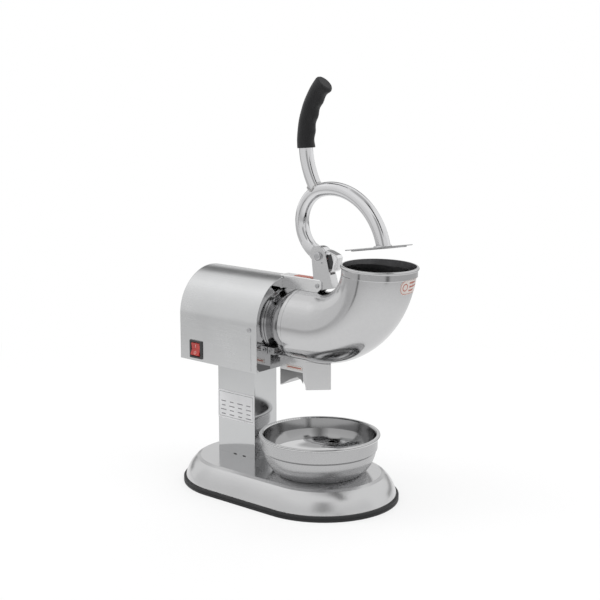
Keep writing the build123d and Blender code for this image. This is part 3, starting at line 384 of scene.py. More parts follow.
class Finish(Enum):
    """Every finish on the machine, by the name of what wears it."""

    BASE = Steel((0.70, 0.70, 0.705), 0.15, (60, 900, 900), 0.05, 0.04, 2e-6)
    # darker copy of the base steel: painted shade, a darker reflection painted on the base's sloping shoulder
    SHADED_SHOULDER = Steel((0.60, 0.60, 0.605), 0.22, (60, 900, 900), 0.06, 0.04, 1e-6)
    SHEET = Steel((0.68, 0.685, 0.69), 0.24, (30, 900, 900), 0.06, 0.03, 2e-6, 0.0008)
    COLUMN = Steel((0.58, 0.585, 0.59), 0.09, (1500, 1500, 30), 0.05, 0.03, 2e-6, 0.0008)
    MIRROR = Steel((0.60, 0.60, 0.605), 0.04, (30, 700, 700), 0.02, 0.02, 1e-6)
    CAST = Steel((0.57, 0.57, 0.575), 0.13, (240, 240, 240), 0.04, 0.04, 4e-6)
    CHUTE = Steel((0.64, 0.64, 0.645), 0.22, (120, 120, 120), 0.06, 0.05, 2e-6, 0.0006)
    # dark finish of the sheets laid on the chute's cheeks: painted shade in the cheeks' hollow
    CHEEK_SHADE = Steel((0.24, 0.24, 0.242), 0.34, (500, 500, 500), 0.12, 0.1, 3e-5)
    BRACKET = Steel((0.86, 0.86, 0.865), 0.22, (40, 900, 900), 0.05, 0.03, 3e-6, 0.0006)
    FORK = Steel((0.68, 0.68, 0.685), 0.20, (40, 900, 900), 0.05, 0.03, 3e-6, 0.0006)
    TUBE = Steel((0.72, 0.72, 0.73), 0.11, (300, 300, 300), 0.04, 0.03, 1e-6)
    DISC = Steel((0.50, 0.50, 0.505), 0.22, (500, 500, 500), 0.08, 0.05, 4e-6)
    BOWL_OUT = Steel((0.48, 0.48, 0.485), 0.26, (40, 40, 700), 0.06, 0.03, 1e-6, 0.0, 0.6)
    # darker copy of the bowl's inner steel: painted reflection of the darker sides of the room on the steep
    # inner wall
    SHADED_BOWL_WALL = Steel((0.38, 0.38, 0.383), 0.11, (60, 60, 700), 0.03, 0.03, 4e-7)
    BOWL_IN = Steel((0.66, 0.66, 0.665), 0.05, (100, 100, 1200), 0.03, 0.03, 2e-6)
    SCREW = Steel((0.52, 0.52, 0.53), 0.22, (600, 600, 600), 0.08, 0.05, 4e-6)
    ZINC = Steel((0.42, 0.43, 0.44), 0.36, (300, 300, 300), 0.1, 0.08, 1e-5)
    BARE_CAST = Steel((0.40, 0.40, 0.41), 0.5, (160, 160, 160), 0.15, 0.1, 8e-5)
    # dark, rough finish of the tube's inner wall: rougher bare casting, darkened further by painted shade in
    # the bore
    SHADED_TUBE_INSIDE = Steel((0.16, 0.16, 0.165), 0.42, (260, 260, 260), 0.12, 0.1, 5e-5)
    LAMINATED = Steel((0.22, 0.22, 0.24), 0.45, (2000, 40, 40), 0.15, 0.08, 2e-5)
    WELD = Steel((0.46, 0.455, 0.45), 0.3, (900, 900, 900), 0.12, 0.1, 3e-5)
    COPPER = Painted((0.42, 0.15, 0.06), 0.35, 0.6)
    ENAMEL = Painted((0.03, 0.03, 0.033), 0.35)
    CASE = Painted((0.62, 0.62, 0.60), 0.4)
    RUBBER = Moulded((0.014, 0.014, 0.015), 0.52, 1200, 3e-5, 0.008, 0.0, 0.3)
    GRIP = Moulded((0.010, 0.010, 0.011), 0.42, 1500, 3e-5, 0.006, 0.0, 0.28)
    GASKET = Moulded((0.12, 0.12, 0.12), 0.7)
    SWITCH = Moulded((0.012, 0.012, 0.013), 0.22, 700, 1e-5, 0.01, 0.2)
    PLASTIC = Moulded((0.02, 0.02, 0.021), 0.4, 900, 3e-5, 0.015)
    RED = ClearRed()
    MARK = Painted((0.62, 0.42, 0.38), 0.4)
    PLATE = Painted((0.74, 0.74, 0.75), 0.4, 0.25)
    PLATE_LINE = Painted((0.20, 0.20, 0.21), 0.45)
    LABEL_RED = Painted((0.42, 0.12, 0.085), 0.4)
    LABEL_PALE = Painted((0.62, 0.57, 0.54), 0.4)
    GAP = Moulded((0.01, 0.01, 0.01), 0.8)

    def material(self) -> bpy.types.Material:
        """Find the finish's material, or make it when it is first asked for.

        Returns:
            The material.
        """
        name = self.name.lower()
        if name not in bpy.data.materials:
            g = Graph(name)
            g.surface(self.value.shader(g))
        return bpy.data.materials[name]


def dress(obj: bpy.types.Object, finish: Finish) -> None:
    """Give a mesh one finish all over, shaded smooth between its sharp edges.

    Args:
        obj: the mesh object.
        finish: what it wears.
    """
    obj.data.materials.clear()
    obj.data.materials.append(finish.material())
    for face in obj.data.polygons:
        face.material_index = 0
        face.use_smooth = True
    if not obj.data.has_custom_normals:
        obj.data.set_sharp_from_angle(angle=math.radians(SHARP_ANGLE))


def dress_nodes(finishes: dict[str, Finish]) -> None:
    """Dress solids of the machine by name.

    Args:
        finishes: finish of each solid.
    """
    for name, finish in finishes.items():
        dress(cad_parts[name], finish)
    log.info("dressed %s", ", ".join(finishes))


def dress_part(name: str, finish: Finish, where: Callable[[Vector, Vector], bool]) -> None:
    """Give some faces of a solid a second finish.

    Args:
        name: the solid.
        finish: what the chosen faces wear.
        where: says from a face's centre and normal whether it is chosen.
    """
    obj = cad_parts[name]
    obj.data.materials.append(finish.material())
    last = len(obj.data.materials) - 1
    for face in obj.data.polygons:
        if where(face.center, face.normal):
            face.material_index = last


# ---------------- small pieces


def at(x: float, y: float, z: float) -> Vector:
    """A place measured in millimetres from the middle of the base."""
    return Vector((BASE_X + x / 1000, y / 1000, z / 1000))


def facing(origin: Vector, right: Vector, up: Vector) -> Matrix:
    """Where a flat piece is held.

    Args:
        origin: its middle.
        right: direction of its X.
        up: direction of its Y.

    Returns:
        The matrix that places it, with its front facing away from the surface.
    """
    right = right.normalized()
    front = right.cross(up).normalized()
    place = Matrix((right, front.cross(right), front)).transposed().to_4x4()
    place.translation = origin
    return place


def rounded_rectangle(width: float, height: float, radius: float, steps: int = 5) -> list[Point]:
    """Outline of a rectangle with round corners.

    Args:
        width: size along X.
        height: size along Y.
        radius: corner radius.
        steps: points on each corner, less one.

    Returns:
        The outline, counter-clockwise.
    """
    points = []
    for corner, (sx, sy) in enumerate(((1, 1), (-1, 1), (-1, -1), (1, -1))):
        for step in range(steps + 1):
            turn = math.radians(90 * corner + 90 * step / steps)
            points.append((sx * (width / 2 - radius) + radius * math.cos(turn),
                           sy * (height / 2 - radius) + radius * math.sin(turn)))
    return points


def dense(outline: Sequence[Point], step: float) -> list[Point]:
    """An outline with more points on its long edges.

    Args:
        outline: the outline in metres.
        step: longest edge that stays.

    Returns:
        The outline with the points added.
    """
    points = []
    for (x0, y0), (x1, y1) in zip(outline, list(outline[1:]) + [outline[0]]):
        parts = max(1, math.ceil(math.hypot(x1 - x0, y1 - y0) / step))
        points += [(x0 + (x1 - x0) * k / parts, y0 + (y1 - y0) * k / parts) for k in range(parts)]
    return points


def circle(radius: float, count: int = 48) -> list[Point]:
    """Points round a circle, in metres."""
    turns = [math.tau * k / count for k in range(count)]
    return [(radius * math.cos(turn), radius * math.sin(turn)) for turn in turns]


def plain_mesh(name: str, verts: Sequence[Sequence[float]], faces: Sequence[Face]) -> bpy.types.Mesh:
    """Make a mesh from its corners and faces.

    Args:
        name: its name.
        verts: its corners.
        faces: the corners of each face, by number.

    Returns:
        The mesh.
    """
    mesh = bpy.data.meshes.new(name)
    mesh.from_pydata([tuple(v) for v in verts], [], faces)
    mesh.update()
    return mesh


def ring_faces(sides: int, rings: int, first: int = 0, closed: bool = False,
               flipped: bool = False) -> list[Face]:
    """Faces between rings of points that follow one another.

    Args:
        sides: points on each ring.
        rings: number of rings.
        first: index of the first ring's first point.
        closed: whether the last ring joins the first.
        flipped: whether the faces look the other way.

    Returns:
        The faces.
    """
    faces = []
    for ring in range(rings if closed else rings - 1):
        a, b = first + ring * sides, first + (ring + 1) % rings * sides
        for k in range(sides):
            m = (k + 1) % sides
            faces.append((a + k, b + k, b + m, a + m) if flipped else (a + k, a + m, b + m, b + k))
    return faces


def slab(outline: Sequence[Point], thickness: float, bevel: float) -> bpy.types.Mesh:
    """Thin plate with a softened front edge.

    Args:
        outline: its outline in metres.
        thickness: how far it stands out.
        bevel: width of the softened edge.

    Returns:
        The mesh, lying in its own XY plane.
    """
    bm = bmesh.new()
    back = bm.faces.new([bm.verts.new((x, y, 0)) for x, y in outline])
    made = bmesh.ops.extrude_face_region(bm, geom=[back])
    front = [v for v in made["geom"] if isinstance(v, bmesh.types.BMVert)]
    bmesh.ops.translate(bm, vec=(0, 0, thickness), verts=front)
    bmesh.ops.recalc_face_normals(bm, faces=bm.faces)
    rim = [e for e in bm.edges if all(v.co.z > thickness / 2 for v in e.verts)]
    bmesh.ops.bevel(bm, geom=rim, offset=bevel, segments=2, affect="EDGES", profile=0.5)
    mesh = bpy.data.meshes.new("slab")
    bm.to_mesh(mesh)
    bm.free()
    return mesh


def tab(size: Point, corner: float, thickness: float, bevel: float, steps: int = 5) -> bpy.types.Mesh:
    """Thin plate with round corners, measured in millimetres."""
    outline = rounded_rectangle(size[0] / 1000, size[1] / 1000, corner / 1000, steps)
    return slab(outline, thickness / 1000, bevel / 1000)


def hoop(outer: Sequence[Point], inner: Sequence[Point], thickness: float) -> bpy.types.Mesh:
    """Thin raised line between two outlines.

    Args:
        outer: its outer edge in metres.
        inner: its inner edge, with as many points.
        thickness: how far it stands out.

    Returns:
        The mesh, lying in its own XY plane.
    """
    verts = [(x0 + (x1 - x0) * share, y0 + (y1 - y0) * share, height)
             for share, height in ((0.0, 0.0), (0.25, thickness), (0.75, thickness), (1.0, 0.0))
             for (x0, y0), (x1, y1) in zip(outer, inner)]
    return plain_mesh("hoop", verts, ring_faces(len(outer), 4))


def bead(path: Sequence[Vector], radius: float, lumps: int, swell: float) -> bpy.types.Mesh:
    """Closed bead of weld along a path, with the ripples that the torch leaves.

    Args:
        path: points of the bead's middle line, in order.
        radius: half its thickness.
        lumps: ripples round the path.
        swell: share of the radius that the ripples add.

    Returns:
        The mesh.
    """
    count, sides = len(path), 10
    verts = []
    middle = sum(path, Vector()) / count
    for i, point in enumerate(path):
        along = (path[(i + 1) % count] - path[i - 1]).normalized()
        out = (point - middle).normalized()
        out = (out - along * out.dot(along)).normalized()
        up = along.cross(out)
        ripple = math.sin(lumps * math.tau * i / count) + 0.4 * math.sin(5.0 * i)
        thick = radius * (1 + swell * ripple)
        for k in range(sides):
            turn = math.tau * k / sides
            verts.append(point + out * thick * math.cos(turn) + up * thick * math.sin(turn))
    return plain_mesh("bead", verts, ring_faces(sides, count, closed=True))


def patch(outline: Sequence[Point], rings: int = 10) -> bpy.types.Mesh:
    """Flat patch with enough points to follow a curved surface.

    Args:
        outline: its outline in metres, round its middle.
        rings: rings of points.

    Returns:
        The mesh, lying in its own XY plane.
    """
    sides = len(outline)
    verts = [(0.0, 0.0, 0.0)]
    verts += [(x * ring / rings, y * ring / rings, 0.0) for ring in range(1, rings + 1) for x, y in outline]
    faces = [(0, 1 + k, 1 + (k + 1) % sides) for k in range(sides)]
    return plain_mesh("patch", verts, faces + ring_faces(sides, rings, 1, flipped=True))


def lathe(profile: Sequence[Point]) -> bpy.types.Mesh:
    """Turned solid round its own Z axis.

    Args:
        profile: radius and height of each point in millimetres, from axis to axis.

    Returns:
        The mesh.
    """
    rims = profile[1:-1]
    verts = [(0.0, 0.0, profile[0][1] / 1000), (0.0, 0.0, profile[-1][1] / 1000)]
    verts += [(x, y, height / 1000) for radius, height in rims for x, y in circle(radius / 1000, LATHE_SIDES)]
    last = len(verts) - LATHE_SIDES
    faces = []
    for k in range(LATHE_SIDES):
        m = (k + 1) % LATHE_SIDES
        faces += [(0, 2 + k, 2 + m), (1, last + m, last + k)]
    return plain_mesh("lathe", verts, faces + ring_faces(LATHE_SIDES, len(rims), 2, flipped=True))


def lay_on(mesh: bpy.types.Mesh, node: str, inward: Callable[[Vector], Vector], lift: float) -> None:
    """Lay a patch on a solid's surface.

    Args:
        mesh: the patch, already placed a little above the surface.
        node: the solid it lies on.
        inward: direction towards the surface from a place.
        lift: how far it stands off.
    """
    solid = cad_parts[node].data
    places = [v.co.copy() for v in solid.vertices]
    tree = BVHTree.FromPolygons(places, [tuple(f.vertices) for f in solid.polygons])
    for vert in mesh.vertices:
        way = inward(vert.co)
        hit = tree.ray_cast(vert.co, way)[0]
        if hit is not None:
            vert.co = hit - way * lift
    mesh.update()


def add_piece(name: str, mesh: bpy.types.Mesh, finish: Finish, body: str) -> bpy.types.Object:
    """Put a small piece on the machine.

    Args:
        name: the piece's name.
        mesh: its mesh, in the machine's frame.
        finish: what it wears.
        body: the moving body that carries it.

    Returns:
        The object.
    """
    mesh.name = name
    piece = bpy.data.objects.new(name, mesh)
    bpy.context.scene.collection.objects.link(piece)
    dress(piece, finish)
    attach(piece, body)
    log.info("piece %s", name)
    return piece


def flat_piece(name: str, mesh: bpy.types.Mesh, place: Matrix, finish: Finish, body: str) -> None:
    """Hold a flat mesh against the machine and add it.

    Args:
        name: the piece's name.
        mesh: the mesh in its own XY plane.
        place: where it is held.
        finish: what it wears.
        body: the moving body that carries it.
    """
    mesh.transform(place)
    add_piece(name, mesh, finish, body)


def both_sides(name: str, edge: Sequence[Point], depth: float, sheet: Point, finish: Finish) -> None:
    """Add a thin plate on each side of the machine's middle plane.

    Args:
        name: the plates' name, before near or far.
        edge: their outline as X and level, in millimetres from the middle of the base.
        depth: how far their backs stand from the middle plane, in millimetres.
        sheet: their thickness and the width of their softened edge, in millimetres.
        finish: what they wear.
    """
    level = edge[0][1]
    for end, side in (("near", -1), ("far", 1)):
        outline = [(x / 1000 * -side, (z - level) / 1000) for x, z in edge]
        plate = slab(outline, sheet[0] / 1000, sheet[1] / 1000)
        flat_piece(f"{name}_{end}", plate, facing(at(0, side * depth, level), RIGHT * -side, UP), finish,
                   "machine")


# ---------------- the machine


@dataclass
class Base:
    """Polished base casting with its rubber edge and bottom cover, and a painted darker reflection on its
    shoulder.
    """

    level_normal: float = 0.97

    def build(self) -> None:
        """Dress the base, painting a darker reflection on every face of the shell that isn't level."""
        dress_nodes({"base_shell": Finish.BASE, "base_edge_trim": Finish.RUBBER,
                     "base_bottom_cover": Finish.ZINC, "cover_screws": Finish.ZINC})
        # Faces that are not level get the darker copy of the base steel: painted shade for the darker
        # reflection on the shoulder.
        dress_part("base_shell", Finish.SHADED_SHOULDER, lambda centre, normal: normal.z < self.level_normal)


@dataclass
class Column:
    """Square column of folded sheet with a bare plate on its near side."""

    near_face: float = -23.85
    plate_middle: Point = (-81.05, 109.8)
    plate_size: Point = (72.4, 42.4)
    plate_thickness: float = 0.5
    stand_off: float = 0.02
    rule_lengths: tuple[float, ...] = (9.5, 7.5, 11.0, 8.0)
    rule_height: float = 1.4
    rule_start: Point = (-25.0, 4.5)
    rule_pitch: Point = (16.5, 6.4)
    slot_size: Point = (6.0, 0.9)
    slot_level: float = 38.3
    slots_at: tuple[float, ...] = (-66.0, -84.0)

    def build(self) -> None:
        """Dress the column and add what is on it."""
        dress_nodes({"column": Finish.COLUMN, "column_foot_plate": Finish.ZINC,
                     "column_head_plate": Finish.ZINC, "column_foot_bolts": Finish.ZINC,
                     "column_head_bolts": Finish.ZINC})
        self.plate()
        self.rules()
        self.slots()

    def fix(self, name: str, mesh: bpy.types.Mesh, place: Place, finish: Finish) -> None:
        """Hold a flat mesh against the near face.

        Args:
            name: the piece's name.
            mesh: the mesh in its own XY plane.
            place: its X, how far its back stands off the face and its level, in millimetres.
            finish: what it wears.
        """
        x, lift, z = place
        flat_piece(name, mesh, facing(at(x, self.near_face - lift, z), RIGHT, UP), finish,
                   "machine")

    def plate(self) -> None:
        """Bare plate with a ruled frame."""
        x, z = self.plate_middle
        wide, high = (v / 1000 for v in self.plate_size)
        plate = tab(self.plate_size, 1.5, self.plate_thickness, 0.2)
        self.fix("column_plate", plate, (x, self.stand_off, z), Finish.PLATE)
        line = hoop(rounded_rectangle(wide - 0.005, high - 0.005, 0.0012),
                    rounded_rectangle(wide - 0.0062, high - 0.0062, 0.0006), 0.00006)
        self.fix("column_plate_frame", line, (x, self.stand_off + self.plate_thickness, z), Finish.PLATE_LINE)

    def rules(self) -> None:
        """Empty rules in four rows of four fields."""
        lift = self.stand_off + self.plate_thickness
        for row in range(4):
            z = self.plate_middle[1] + self.rule_start[1] - row * self.rule_pitch[1]
            for field in range(4):
                x = self.plate_middle[0] + self.rule_start[0] + field * self.rule_pitch[0]
                rule = tab((self.rule_lengths[(field + row) % 4], self.rule_height), 0.4, 0.05, 0.01, 2)
                self.fix(f"column_plate_rule_{row + 1}_{field + 1}", rule, (x, lift, z), Finish.PLATE_LINE)

    def slots(self) -> None:
        """Two short dark slots where the column meets the base."""
        for count, x in enumerate(self.slots_at, 1):
            gap = tab(self.slot_size, 0.4, 0.1, 0.03)
            self.fix(f"column_foot_slot_{count}", gap, (x, 0.01, self.slot_level), Finish.GAP)


@dataclass
class Housing:
    """Wrapped sheet housing with its mirror front plate, rear panel and gland."""

    def build(self) -> None:
        """Dress the housing."""
        dress_nodes({"housing_shroud": Finish.SHEET, "housing_floor": Finish.SHEET,
                     "housing_rear_panel": Finish.SHEET, "rear_panel_screws": Finish.SCREW,
                     "shroud_screws": Finish.SCREW, "cord_gland": Finish.SCREW, "front_plate": Finish.MIRROR})


@dataclass
class RockerSwitch:
    """Panel switch with a clear red rocker and the usual bar and ring marks."""

    centre: Place = (-119.6, -63.1, 196.1)
    upper_face: Point = (-3.62, 4.9)
    lower_face: Point = (-4.86, -4.6)
    upper_lean: float = -4.6
    lower_lean: float = 22.4
    bar_size: Point = (0.9, 4.6)
    ring_radii: Point = (2.3, 1.6)
    stand_out: float = 0.12

    def build(self) -> None:
        """Dress the switch and add its marks."""
        dress_nodes({"switch_bezel": Finish.SWITCH, "switch_rocker": Finish.RED})
        bar = tab(self.bar_size, 0.3, self.stand_out, 0.03)
        self.mark("rocker_bar", bar, self.upper_face, self.upper_lean)
        outer, inner = (circle(radius / 1000, 28) for radius in self.ring_radii)
        ring = hoop(outer, inner, self.stand_out / 1000)
        self.mark("rocker_ring", ring, self.lower_face, self.lower_lean)

    def mark(self, name: str, mesh: bpy.types.Mesh, face: Point, lean: float) -> None:
        """Set a mark on the rocker.

        Args:
            name: the mark's name.
            mesh: its flat mesh.
            face: depth and height of its middle from the rocker's pivot.
            lean: degrees that the face leans from upright.
        """
        x, y, z = self.centre
        turn = math.radians(lean)
        up = Vector((0, math.sin(turn), math.cos(turn)))
        place = facing(at(x, y + face[0], z + face[1]), RIGHT, up)
        flat_piece(name, mesh, place, Finish.MARK, "rocker")


@dataclass
class Motor:
    """Motor inside the housing."""

    def build(self) -> None:
        """Dress the motor."""
        dress_nodes({"stator_shell": Finish.ENAMEL, "stator_core": Finish.LAMINATED,
                     "stator_windings": Finish.COPPER, "motor_front_bell": Finish.BARE_CAST,
                     "motor_rear_bell": Finish.BARE_CAST, "motor_bearings": Finish.ZINC,
                     "motor_cradle": Finish.ZINC, "run_capacitor": Finish.CASE,
                     "capacitor_strap": Finish.ZINC, "rotor_core": Finish.LAMINATED,
                     "drive_shaft": Finish.SCREW, "cooling_fan": Finish.PLASTIC})


@dataclass
class Cutter:
    """Bearing carrier, thrower and blade disc at the inner end of the feed tube."""

    def build(self) -> None:
        """Dress the cutter."""
        dress_nodes({"bearing_carrier": Finish.BARE_CAST, "front_bearing": Finish.SCREW,
                     "shaft_seal": Finish.RUBBER, "thrower_hub": Finish.CHUTE, "blade_disc": Finish.CHUTE,
                     "blades": Finish.SCREW, "blade_screws": Finish.ZINC, "hub_nut": Finish.SCREW})


@dataclass
class FeedTube:
    """Curved cast feed tube with its flange screws, seam, a bare round spot by the mouth and painted shade on
    its rough inner wall.
    """

    inner_reach: float = 51.5
    inner_facing: float = 0.6
    seam_at: float = 28.5
    seam_radius: float = 49.85
    label_axis: float = 160.0
    label_level: float = 317.4
    label_turn: float = 11.0
    label_size: Point = (50.0, 21.0)
    bend_outside: float = 50.0
    well_outside: float = 60.0
    ring_at: Point = (-15.5, 0.0)
    bar_lengths: tuple[float, ...] = (16.0, 22.0, 13.0)

    def build(self) -> None:
        """Dress the tube and add what is on it."""
        dress_nodes({"feed_elbow": Finish.CAST, "flange_gasket": Finish.GASKET, "elbow_screws": Finish.SCREW})
        # The inner wall is rougher bare casting, darkened further with painted shade in the bore.
        dress_part("feed_elbow", Finish.SHADED_TUBE_INSIDE, self.inside)
        self.seam()
        self.label()

    def inside(self, centre: Vector, normal: Vector) -> bool:
        """Whether a face belongs to the tube's inner wall.

        Args:
            centre: the face's centre.
            normal: the face's normal.

        Returns:
            True on the inner wall.
        """
        if centre.x > PIVOT.x:
            reach = math.hypot(centre.x - PIVOT.x, centre.z - PIVOT.z) - BEND_RADIUS
            middle = PIVOT + (Vector((centre.x, 0, centre.z)) - PIVOT).normalized() * BEND_RADIUS
        else:
            reach = centre.z - AXIS_Z
            middle = Vector((centre.x, 0, AXIS_Z))
        near = math.hypot(reach, centre.y) < self.inner_reach / 1000
        return near and normal.dot((middle - centre).normalized()) > self.inner_facing

    def seam(self) -> None:
        """Faint turned line round the barrel."""
        path = [at(self.seam_at, y, AXIS_Z * 1000 + z) for y, z in circle(self.seam_radius, 120)]
        add_piece("tube_seam", bead(path, 0.00022, 3, 0.05), Finish.CAST, "machine")

    def label(self) -> None:
        """Bare label with a thin frame line, a plain ring and bars that say nothing."""
        wide, high = (v / 1000 for v in self.label_size)
        for name, inset, lift, finish in (("tube_label_edge", 0.0, 0.12, Finish.LABEL_PALE),
                                          ("tube_label_line", 0.0009, 0.18, Finish.LABEL_RED),
                                          ("tube_label", 0.0017, 0.24, Finish.LABEL_PALE)):
            outline = dense(rounded_rectangle(wide - 2 * inset, high - 2 * inset, high / 2.2 - inset), 0.002)
            self.stick(name, patch(outline), (0.0, 0.0), lift, finish)
        self.stick("tube_mark_ring", patch(circle(0.0052), 4), self.ring_at, 0.30, Finish.LABEL_RED)
        self.stick("tube_mark_middle", patch(circle(0.0038), 4), self.ring_at, 0.36, Finish.LABEL_PALE)
        for row, length in enumerate(self.bar_lengths):
            bar = dense(rounded_rectangle(length / 1000, 0.0022, 0.0008), 0.002)
            self.stick(f"tube_mark_bar_{row + 1}", patch(bar, 4), (length / 2 - 7.0, 5.0 - 5.0 * row), 0.30,
                       Finish.LABEL_RED)

    def stick(self, name: str, mesh: bpy.types.Mesh, offset: Point, lift: float, finish: Finish) -> None:
        """Wrap a flat patch round the outside of the bend.

        Args:
            name: the piece's name.
            mesh: the patch in its own XY plane.
            offset: where its middle lies on the label, in millimetres.
            lift: how far it stands off, in millimetres.
            finish: what it wears.
        """
        axis = at(self.label_axis, 0, 0)
        reach = self.well_outside / 1000
        for vert in mesh.vertices:
            along = (vert.co.x + offset[0] / 1000) / (self.bend_outside / 1000)
            turn = math.radians(self.label_turn) + along
            vert.co = Vector((axis.x + reach * math.cos(turn), reach * math.sin(turn),
                              (self.label_level + offset[1]) / 1000 + vert.co.y))
        lay_on(mesh, "feed_elbow", lambda co: Vector((axis.x - co.x, -co.y, 0)).normalized(), lift / 1000)
        add_piece(name, mesh, finish, "machine")


@dataclass
class Chute:
    """Discharge chute with dark sheets of painted shade on its cheeks and a bare strip on the near one."""

    half_width: float = 23.7
    # outline of the painted shade on each cheek, as X and level in millimetres
    shade_edge: tuple[Point, ...] = ((5.4, 180.5), (5.4, 159.5), (7.4, 158.6), (22.6, 167.6), (36.6, 173.2),
                                     (43.4, 170.6), (47.4, 165.0), (46.2, 180.5))
    shade_sheet: Point = (0.15, 0.04)
    strip_middle: Point = (31.0, 186.0)
    strip_size: Point = (30.0, 6.0)
    line_size: Point = (25.0, 1.5)

    def build(self) -> None:
        """Dress the chute and add what is on its cheeks."""
        dress_nodes({"discharge_chute": Finish.CHUTE, "chute_screws": Finish.ZINC})
        # Dark sheets on both cheeks, below the strip: painted shade in the cheeks' hollow.
        both_sides("chute_cheek_shade", self.shade_edge, self.half_width + 0.01, self.shade_sheet, Finish.CHEEK_SHADE)
        x, z = self.strip_middle
        place = facing(at(x, -self.half_width - 0.08, z), RIGHT, UP)
        strip, line = tab(self.strip_size, 0.6, 0.15, 0.04), tab(self.line_size, 0.5, 0.3, 0.04)
        flat_piece("chute_strip", strip, place, Finish.LABEL_PALE, "machine")
        flat_piece("chute_strip_line", line, place, Finish.LABEL_RED, "machine")


@dataclass
class PivotBracket:
    """Bracket over the feed tube with the lever's fork and the safety switch."""

    strip_middle: Place = (36.0, 0.0, 310.9)
    strip_size: Point = (44.0, 12.0)
    wing_edge: tuple[Point, ...] = ((80.5, 349.4), (82.8, 344.0), (84.9, 337.0), (83.6, 330.0), (81.4, 324.6),
                                    (86.2, 325.4), (88.2, 327.3), (91.6, 343.3), (89.7, 346.1))
    wing_depth: float = 4.8
    wing_sheet: Point = (0.55, 0.1)

    def build(self) -> None:
        """Dress the bracket, add its strip and the folded side wings of the switch guard."""
        dress_nodes({"top_bracket": Finish.BRACKET, "pivot_fork": Finish.FORK, "bracket_rivet": Finish.SCREW,
                     "pivot_bolt": Finish.SCREW, "pivot_nut": Finish.SCREW, "switch_body": Finish.PLASTIC,
                     "switch_plunger": Finish.RED, "switch_guard": Finish.BRACKET})
        place = facing(at(*self.strip_middle), RIGHT, BACK)
        flat_piece("bracket_strip", tab(self.strip_size, 1.0, 0.2, 0.05), place, Finish.LABEL_RED,
                   "machine")
        both_sides("guard_wing", self.wing_edge, self.wing_depth, self.wing_sheet, Finish.BRACKET)


@dataclass
class PressLever:
    """Lever of bent tube with its rubber grip and press disc."""

    tube_radius: float = 9.5
    joint: Place = (49.3, 0.0, 430.6)
    handle_lean: float = -21.0
    disc_middle: Place = (158.0, 0.0, 365.1)
    disc_normal: Place = (-0.1715, 0.0641, 1.0)
    disc_radius: float = 44.6
    disc_thickness: float = 1.4
    pad_radius: float = 36.8
    pad_bottom: float = -3.0
    weld_radius: float = 1.1

    def build(self) -> None:
        """Dress the lever and add its disc and weld."""
        dress_nodes({"lever_loop": Finish.TUBE, "lever_handle": Finish.TUBE, "grip": Finish.GRIP,
                     "pusher_foot": Finish.TUBE})
        self.disc()
        self.weld()

    def disc(self) -> None:
        """Press disc and pad as they hang on the leg, a little out of square to it."""
        normal = Vector(self.disc_normal)
        place = facing(at(*self.disc_middle), Vector((1, 0, -normal.x)), normal.cross(RIGHT))
        rim, under = self.disc_radius, -self.disc_thickness
        plate = lathe([(0, 0), (rim - 0.5, 0), (rim - 0.12, -0.15), (rim, -0.6), (rim - 0.2, under + 0.2),
                       (rim - 0.6, under), (0, under)])
        edge, low = self.pad_radius, self.pad_bottom
        pad = lathe([(0, under + 0.02), (edge, under + 0.02), (edge, low + 0.6), (edge - 0.5, low), (0, low)])
        for name, mesh, node, slot in (("press_disc", plate, "pusher_disc", "disc_steel"),
                                       ("press_pad", pad, "pusher_pad", "pad_steel")):
            mesh.transform(place)
            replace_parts(add_piece(name, mesh, Finish.DISC, "press_lever"), node)

    def weld(self) -> None:
        """Bead where the handle's bar stands on the loop."""
        lean = math.radians(self.handle_lean)
        rise = Vector((math.sin(lean), 0, math.cos(lean)))
        along = Vector((rise.z, 0, -rise.x))
        path = []
        for across, back in circle(1.0, 72):
            lift = abs(across) * 0.96 + 0.04
            offset = along * across + BACK * back + rise * lift
            path.append(at(*self.joint) + offset * self.tube_radius / 1000)
        bump = bead(path, self.weld_radius / 1000, 24, 0.14)
        add_piece("handle_weld", bump, Finish.WELD, "press_lever")


@dataclass
class Bowl:
    """Loose double walled bowl."""

    steep_normals: Point = (0.05, 0.62)

    def build(self) -> None:
        """Dress the bowl; its steep inner wall gets a darker copy of the inner steel, a painted reflection of
        the darker sides of the room.
        """
        dress_nodes({"bowl_outer": Finish.BOWL_OUT, "bowl_inner": Finish.BOWL_IN})
        low, high = self.steep_normals
        # Painted reflection: the steep inner faces get the darker copy of the inner steel.
        dress_part("bowl_inner", Finish.SHADED_BOWL_WALL, lambda centre, normal: low < normal.z < high)


# ---------------- studio


def put_up(thing: bpy.types.Object, place: Place, aim: Place = MACHINE_MIDDLE) -> None:
    """Set a lamp, card or camera in its place.

    Args:
        thing: the lamp, card or camera.
        place: where it stands.
        aim: what it faces.
    """
    thing.location = place
    thing.rotation_mode = "QUATERNION"
    thing.rotation_quaternion = (Vector(aim) - Vector(place)).to_track_quat("-Z", "Y")


def rectangle(name: str, half_w: float, half_h: float) -> bpy.types.Object:
    """A flat rectangle round its own middle."""
    verts = [(-half_w, -half_h, 0), (half_w, -half_h, 0), (half_w, half_h, 0), (-half_w, half_h, 0)]
    return bpy.data.objects.new(name, plain_mesh(name, verts, [(0, 1, 2, 3)]))


def show_in_metal(thing: bpy.types.Object, cloth: Graph) -> None:
    """Put a card, band or wall in the studio, seen in reflections only.

    Args:
        thing: the card, band or wall.
        cloth: its material's graph.
    """
    thing.data.materials.append(cloth.owner)
    thing.visible_camera = False
    thing.visible_shadow = False
    thing.visible_diffuse = False
    bpy.context.scene.collection.objects.link(thing)
    log.info("studio %s", thing.name)


